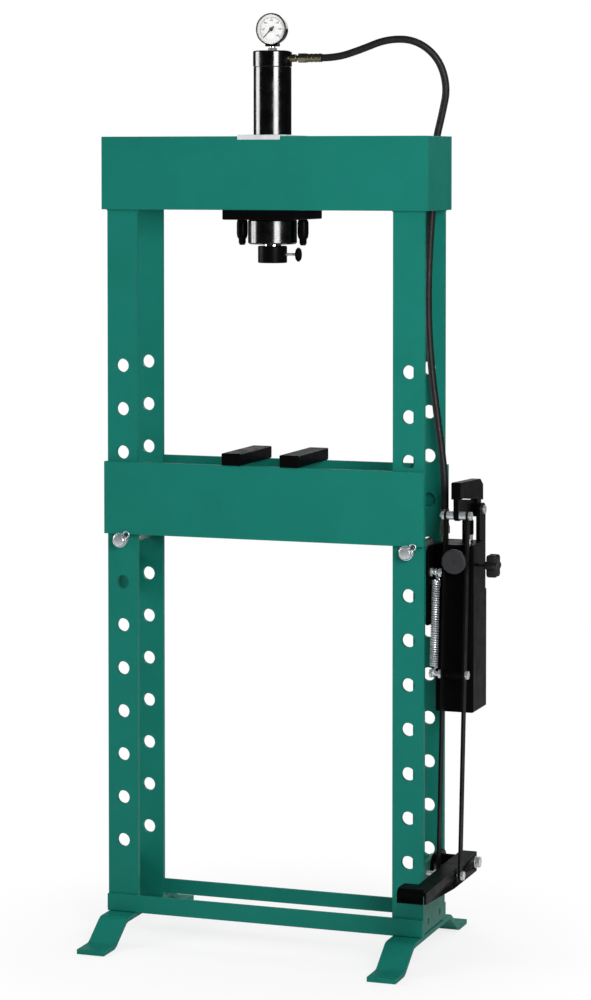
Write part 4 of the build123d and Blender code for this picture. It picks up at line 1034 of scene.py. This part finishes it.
def makeWelds():
    rows = []
    for number, (start, end) in enumerate(weldSeams()):
        count = max(2, round((end - start).length / weld["pitch"]))
        rows.append(grow("weld" + str(number), trees["beads"], {
            "Count": count, "Start": start, "Step": (end - start) / (count - 1), "Size": weld["bead"],
            "Spread": weld["spread"], "Seed": number, "Finish": finishes["frame_paint"]}))
    settle(joined("weldBeads", rows), "frame", "frame_paint")


makeWelds()
print("welds laid")


# The shadow fades out over its reach from the floor's middle; the cone's limits are cosines from the view.
stage = {"size": 14, "drop": 0.0005, "colour": (0.82, 0.82, 0.82, 1), "roughness": 0.9, "specular": 0.1,
         "shadowReach": (0.30, 0.80), "shadowShare": 0.22, "world": 0.38, "glossyWorld": 0.02,
         "cone": (0.96, 0.995)}


# High where white is seen: for camera rays, and for glossy rays that end in the cone behind the press.
def whiteSeen(tree, path, way, output):
    turn = math.radians(view["turn"])
    back = (-math.sin(turn), math.cos(turn), 0)
    away = addNode(tree, "ShaderNodeVectorMath", {1: back}, operation="DOT_PRODUCT")
    behind = addNode(tree, "ShaderNodeMapRange", {"From Min": stage["cone"][0], "From Max": stage["cone"][1]},
                     interpolation_type="SMOOTHSTEP")
    glossy = addNode(tree, "ShaderNodeMath", operation="MULTIPLY")
    seen = addNode(tree, "ShaderNodeMath", operation="MAXIMUM")
    connect(tree, (way, output, away, 0), (away, "Value", behind, "Value"), (behind, "Result", glossy, 0),
            (path, "Is Glossy Ray", glossy, 1), (path, "Is Camera Ray", seen, 0), (glossy, 0, seen, 1))
    return seen


# A plain light floor that is seen as white, a little darker under the press.
def makeFloorFinish():
    finish = Finish("studioFloor", stage["colour"], stage["roughness"], specular=stage["specular"])
    tree = finish.tree
    white = addNode(tree, "ShaderNodeEmission", {"Strength": 1.0})
    path = addNode(tree, "ShaderNodeLightPath")
    distance = addNode(tree, "ShaderNodeVectorMath", operation="LENGTH")
    fade = addNode(tree, "ShaderNodeMapRange",
                   {"From Min": stage["shadowReach"][0], "From Max": stage["shadowReach"][1],
                    "To Min": 1 - stage["shadowShare"], "To Max": 1.0}, interpolation_type="SMOOTHSTEP")
    direction = addNode(tree, "ShaderNodeVectorMath", operation="NORMALIZE")
    seen = whiteSeen(tree, path, direction, "Vector")
    share = addNode(tree, "ShaderNodeMath", operation="MULTIPLY")
    mix = addNode(tree, "ShaderNodeMixShader")
    connect(tree, (finish.place, "Object", distance, 0), (distance, "Value", fade, "Value"),
            (finish.place, "Object", direction, 0), (seen, 0, share, 0), (fade, "Result", share, 1),
            (share, 0, mix, "Fac"), (finish.shader, "BSDF", mix, 1), (white, "Emission", mix, 2),
            (mix, "Shader", tree.nodes["Material Output"], "Surface"))
    return finish.material


def makeFloor():
    work = bmesh.new()
    bmesh.ops.create_grid(work, x_segments=1, y_segments=1, size=stage["size"])
    floor = newObject("floor", meshFrom(work, "floor"))
    floor.location = (0, 0, -stage["drop"])
    floor.data.materials.append(makeFloorFinish())


# Soft light all round, dark in reflections, and seen as plain white by the camera and through glass.
def makeWorld():
    world = bpy.data.worlds.new("studio")
    bpy.context.scene.world = world
    world.use_nodes = True
    tree = world.node_tree
    fill = tree.nodes["Background"]
    fill.inputs["Color"].default_value = (1, 1, 1, 1)
    white = addNode(tree, "ShaderNodeBackground", {"Color": (1, 1, 1, 1), "Strength": 1.0})
    path = addNode(tree, "ShaderNodeLightPath")
    way = addNode(tree, "ShaderNodeTexCoord")
    dim = addNode(tree, "ShaderNodeMath", {1: stage["glossyWorld"] - stage["world"], 2: stage["world"]},
                  operation="MULTIPLY_ADD")
    seen = whiteSeen(tree, path, way, "Generated")
    clear = addNode(tree, "ShaderNodeMath", operation="MAXIMUM")
    mix = addNode(tree, "ShaderNodeMixShader")
    connect(tree, (path, "Is Glossy Ray", dim, 0), (dim, 0, fill, "Strength"), (seen, 0, clear, 0),
            (path, "Is Transmission Ray", clear, 1), (clear, 0, mix, "Fac"), (fill, "Background", mix, 1),
            (white, "Background", mix, 2), (mix, "Shader", tree.nodes["World Output"], "Surface"))


lamps = {
    "key": {"place": (2.0, -2.3, 1.85), "aim": (0.1, 0, 1.65), "size": 1.4, "power": 45, "spread": 130},
    "side": {"place": (-3.2, -0.5, 1.8), "aim": (0, 0, 1.7), "size": 1.7, "power": 56, "spread": 150},
    "rear": {"place": (0.5, 3.4, 3.0), "aim": (0, 0, 1.0), "size": 2.0, "power": 42, "spread": 180},
}


def makeLamps():
    for name, lamp in lamps.items():
        data = bpy.data.lights.new(name, "AREA")
        data.shape = "SQUARE"
        data.size = lamp["size"]
        data.energy = lamp["power"]
        data.spread = math.radians(lamp["spread"])
        item = newObject(name, data)
        item.location = lamp["place"]
        aim = Vector(lamp["aim"]) - Vector(lamp["place"])
        item.rotation_euler = aim.to_track_quat("-Z", "Y").to_euler()


makeFloor()
makeWorld()
makeLamps()
bpy.context.scene.view_settings.view_transform = "Standard"
print("stage lit")
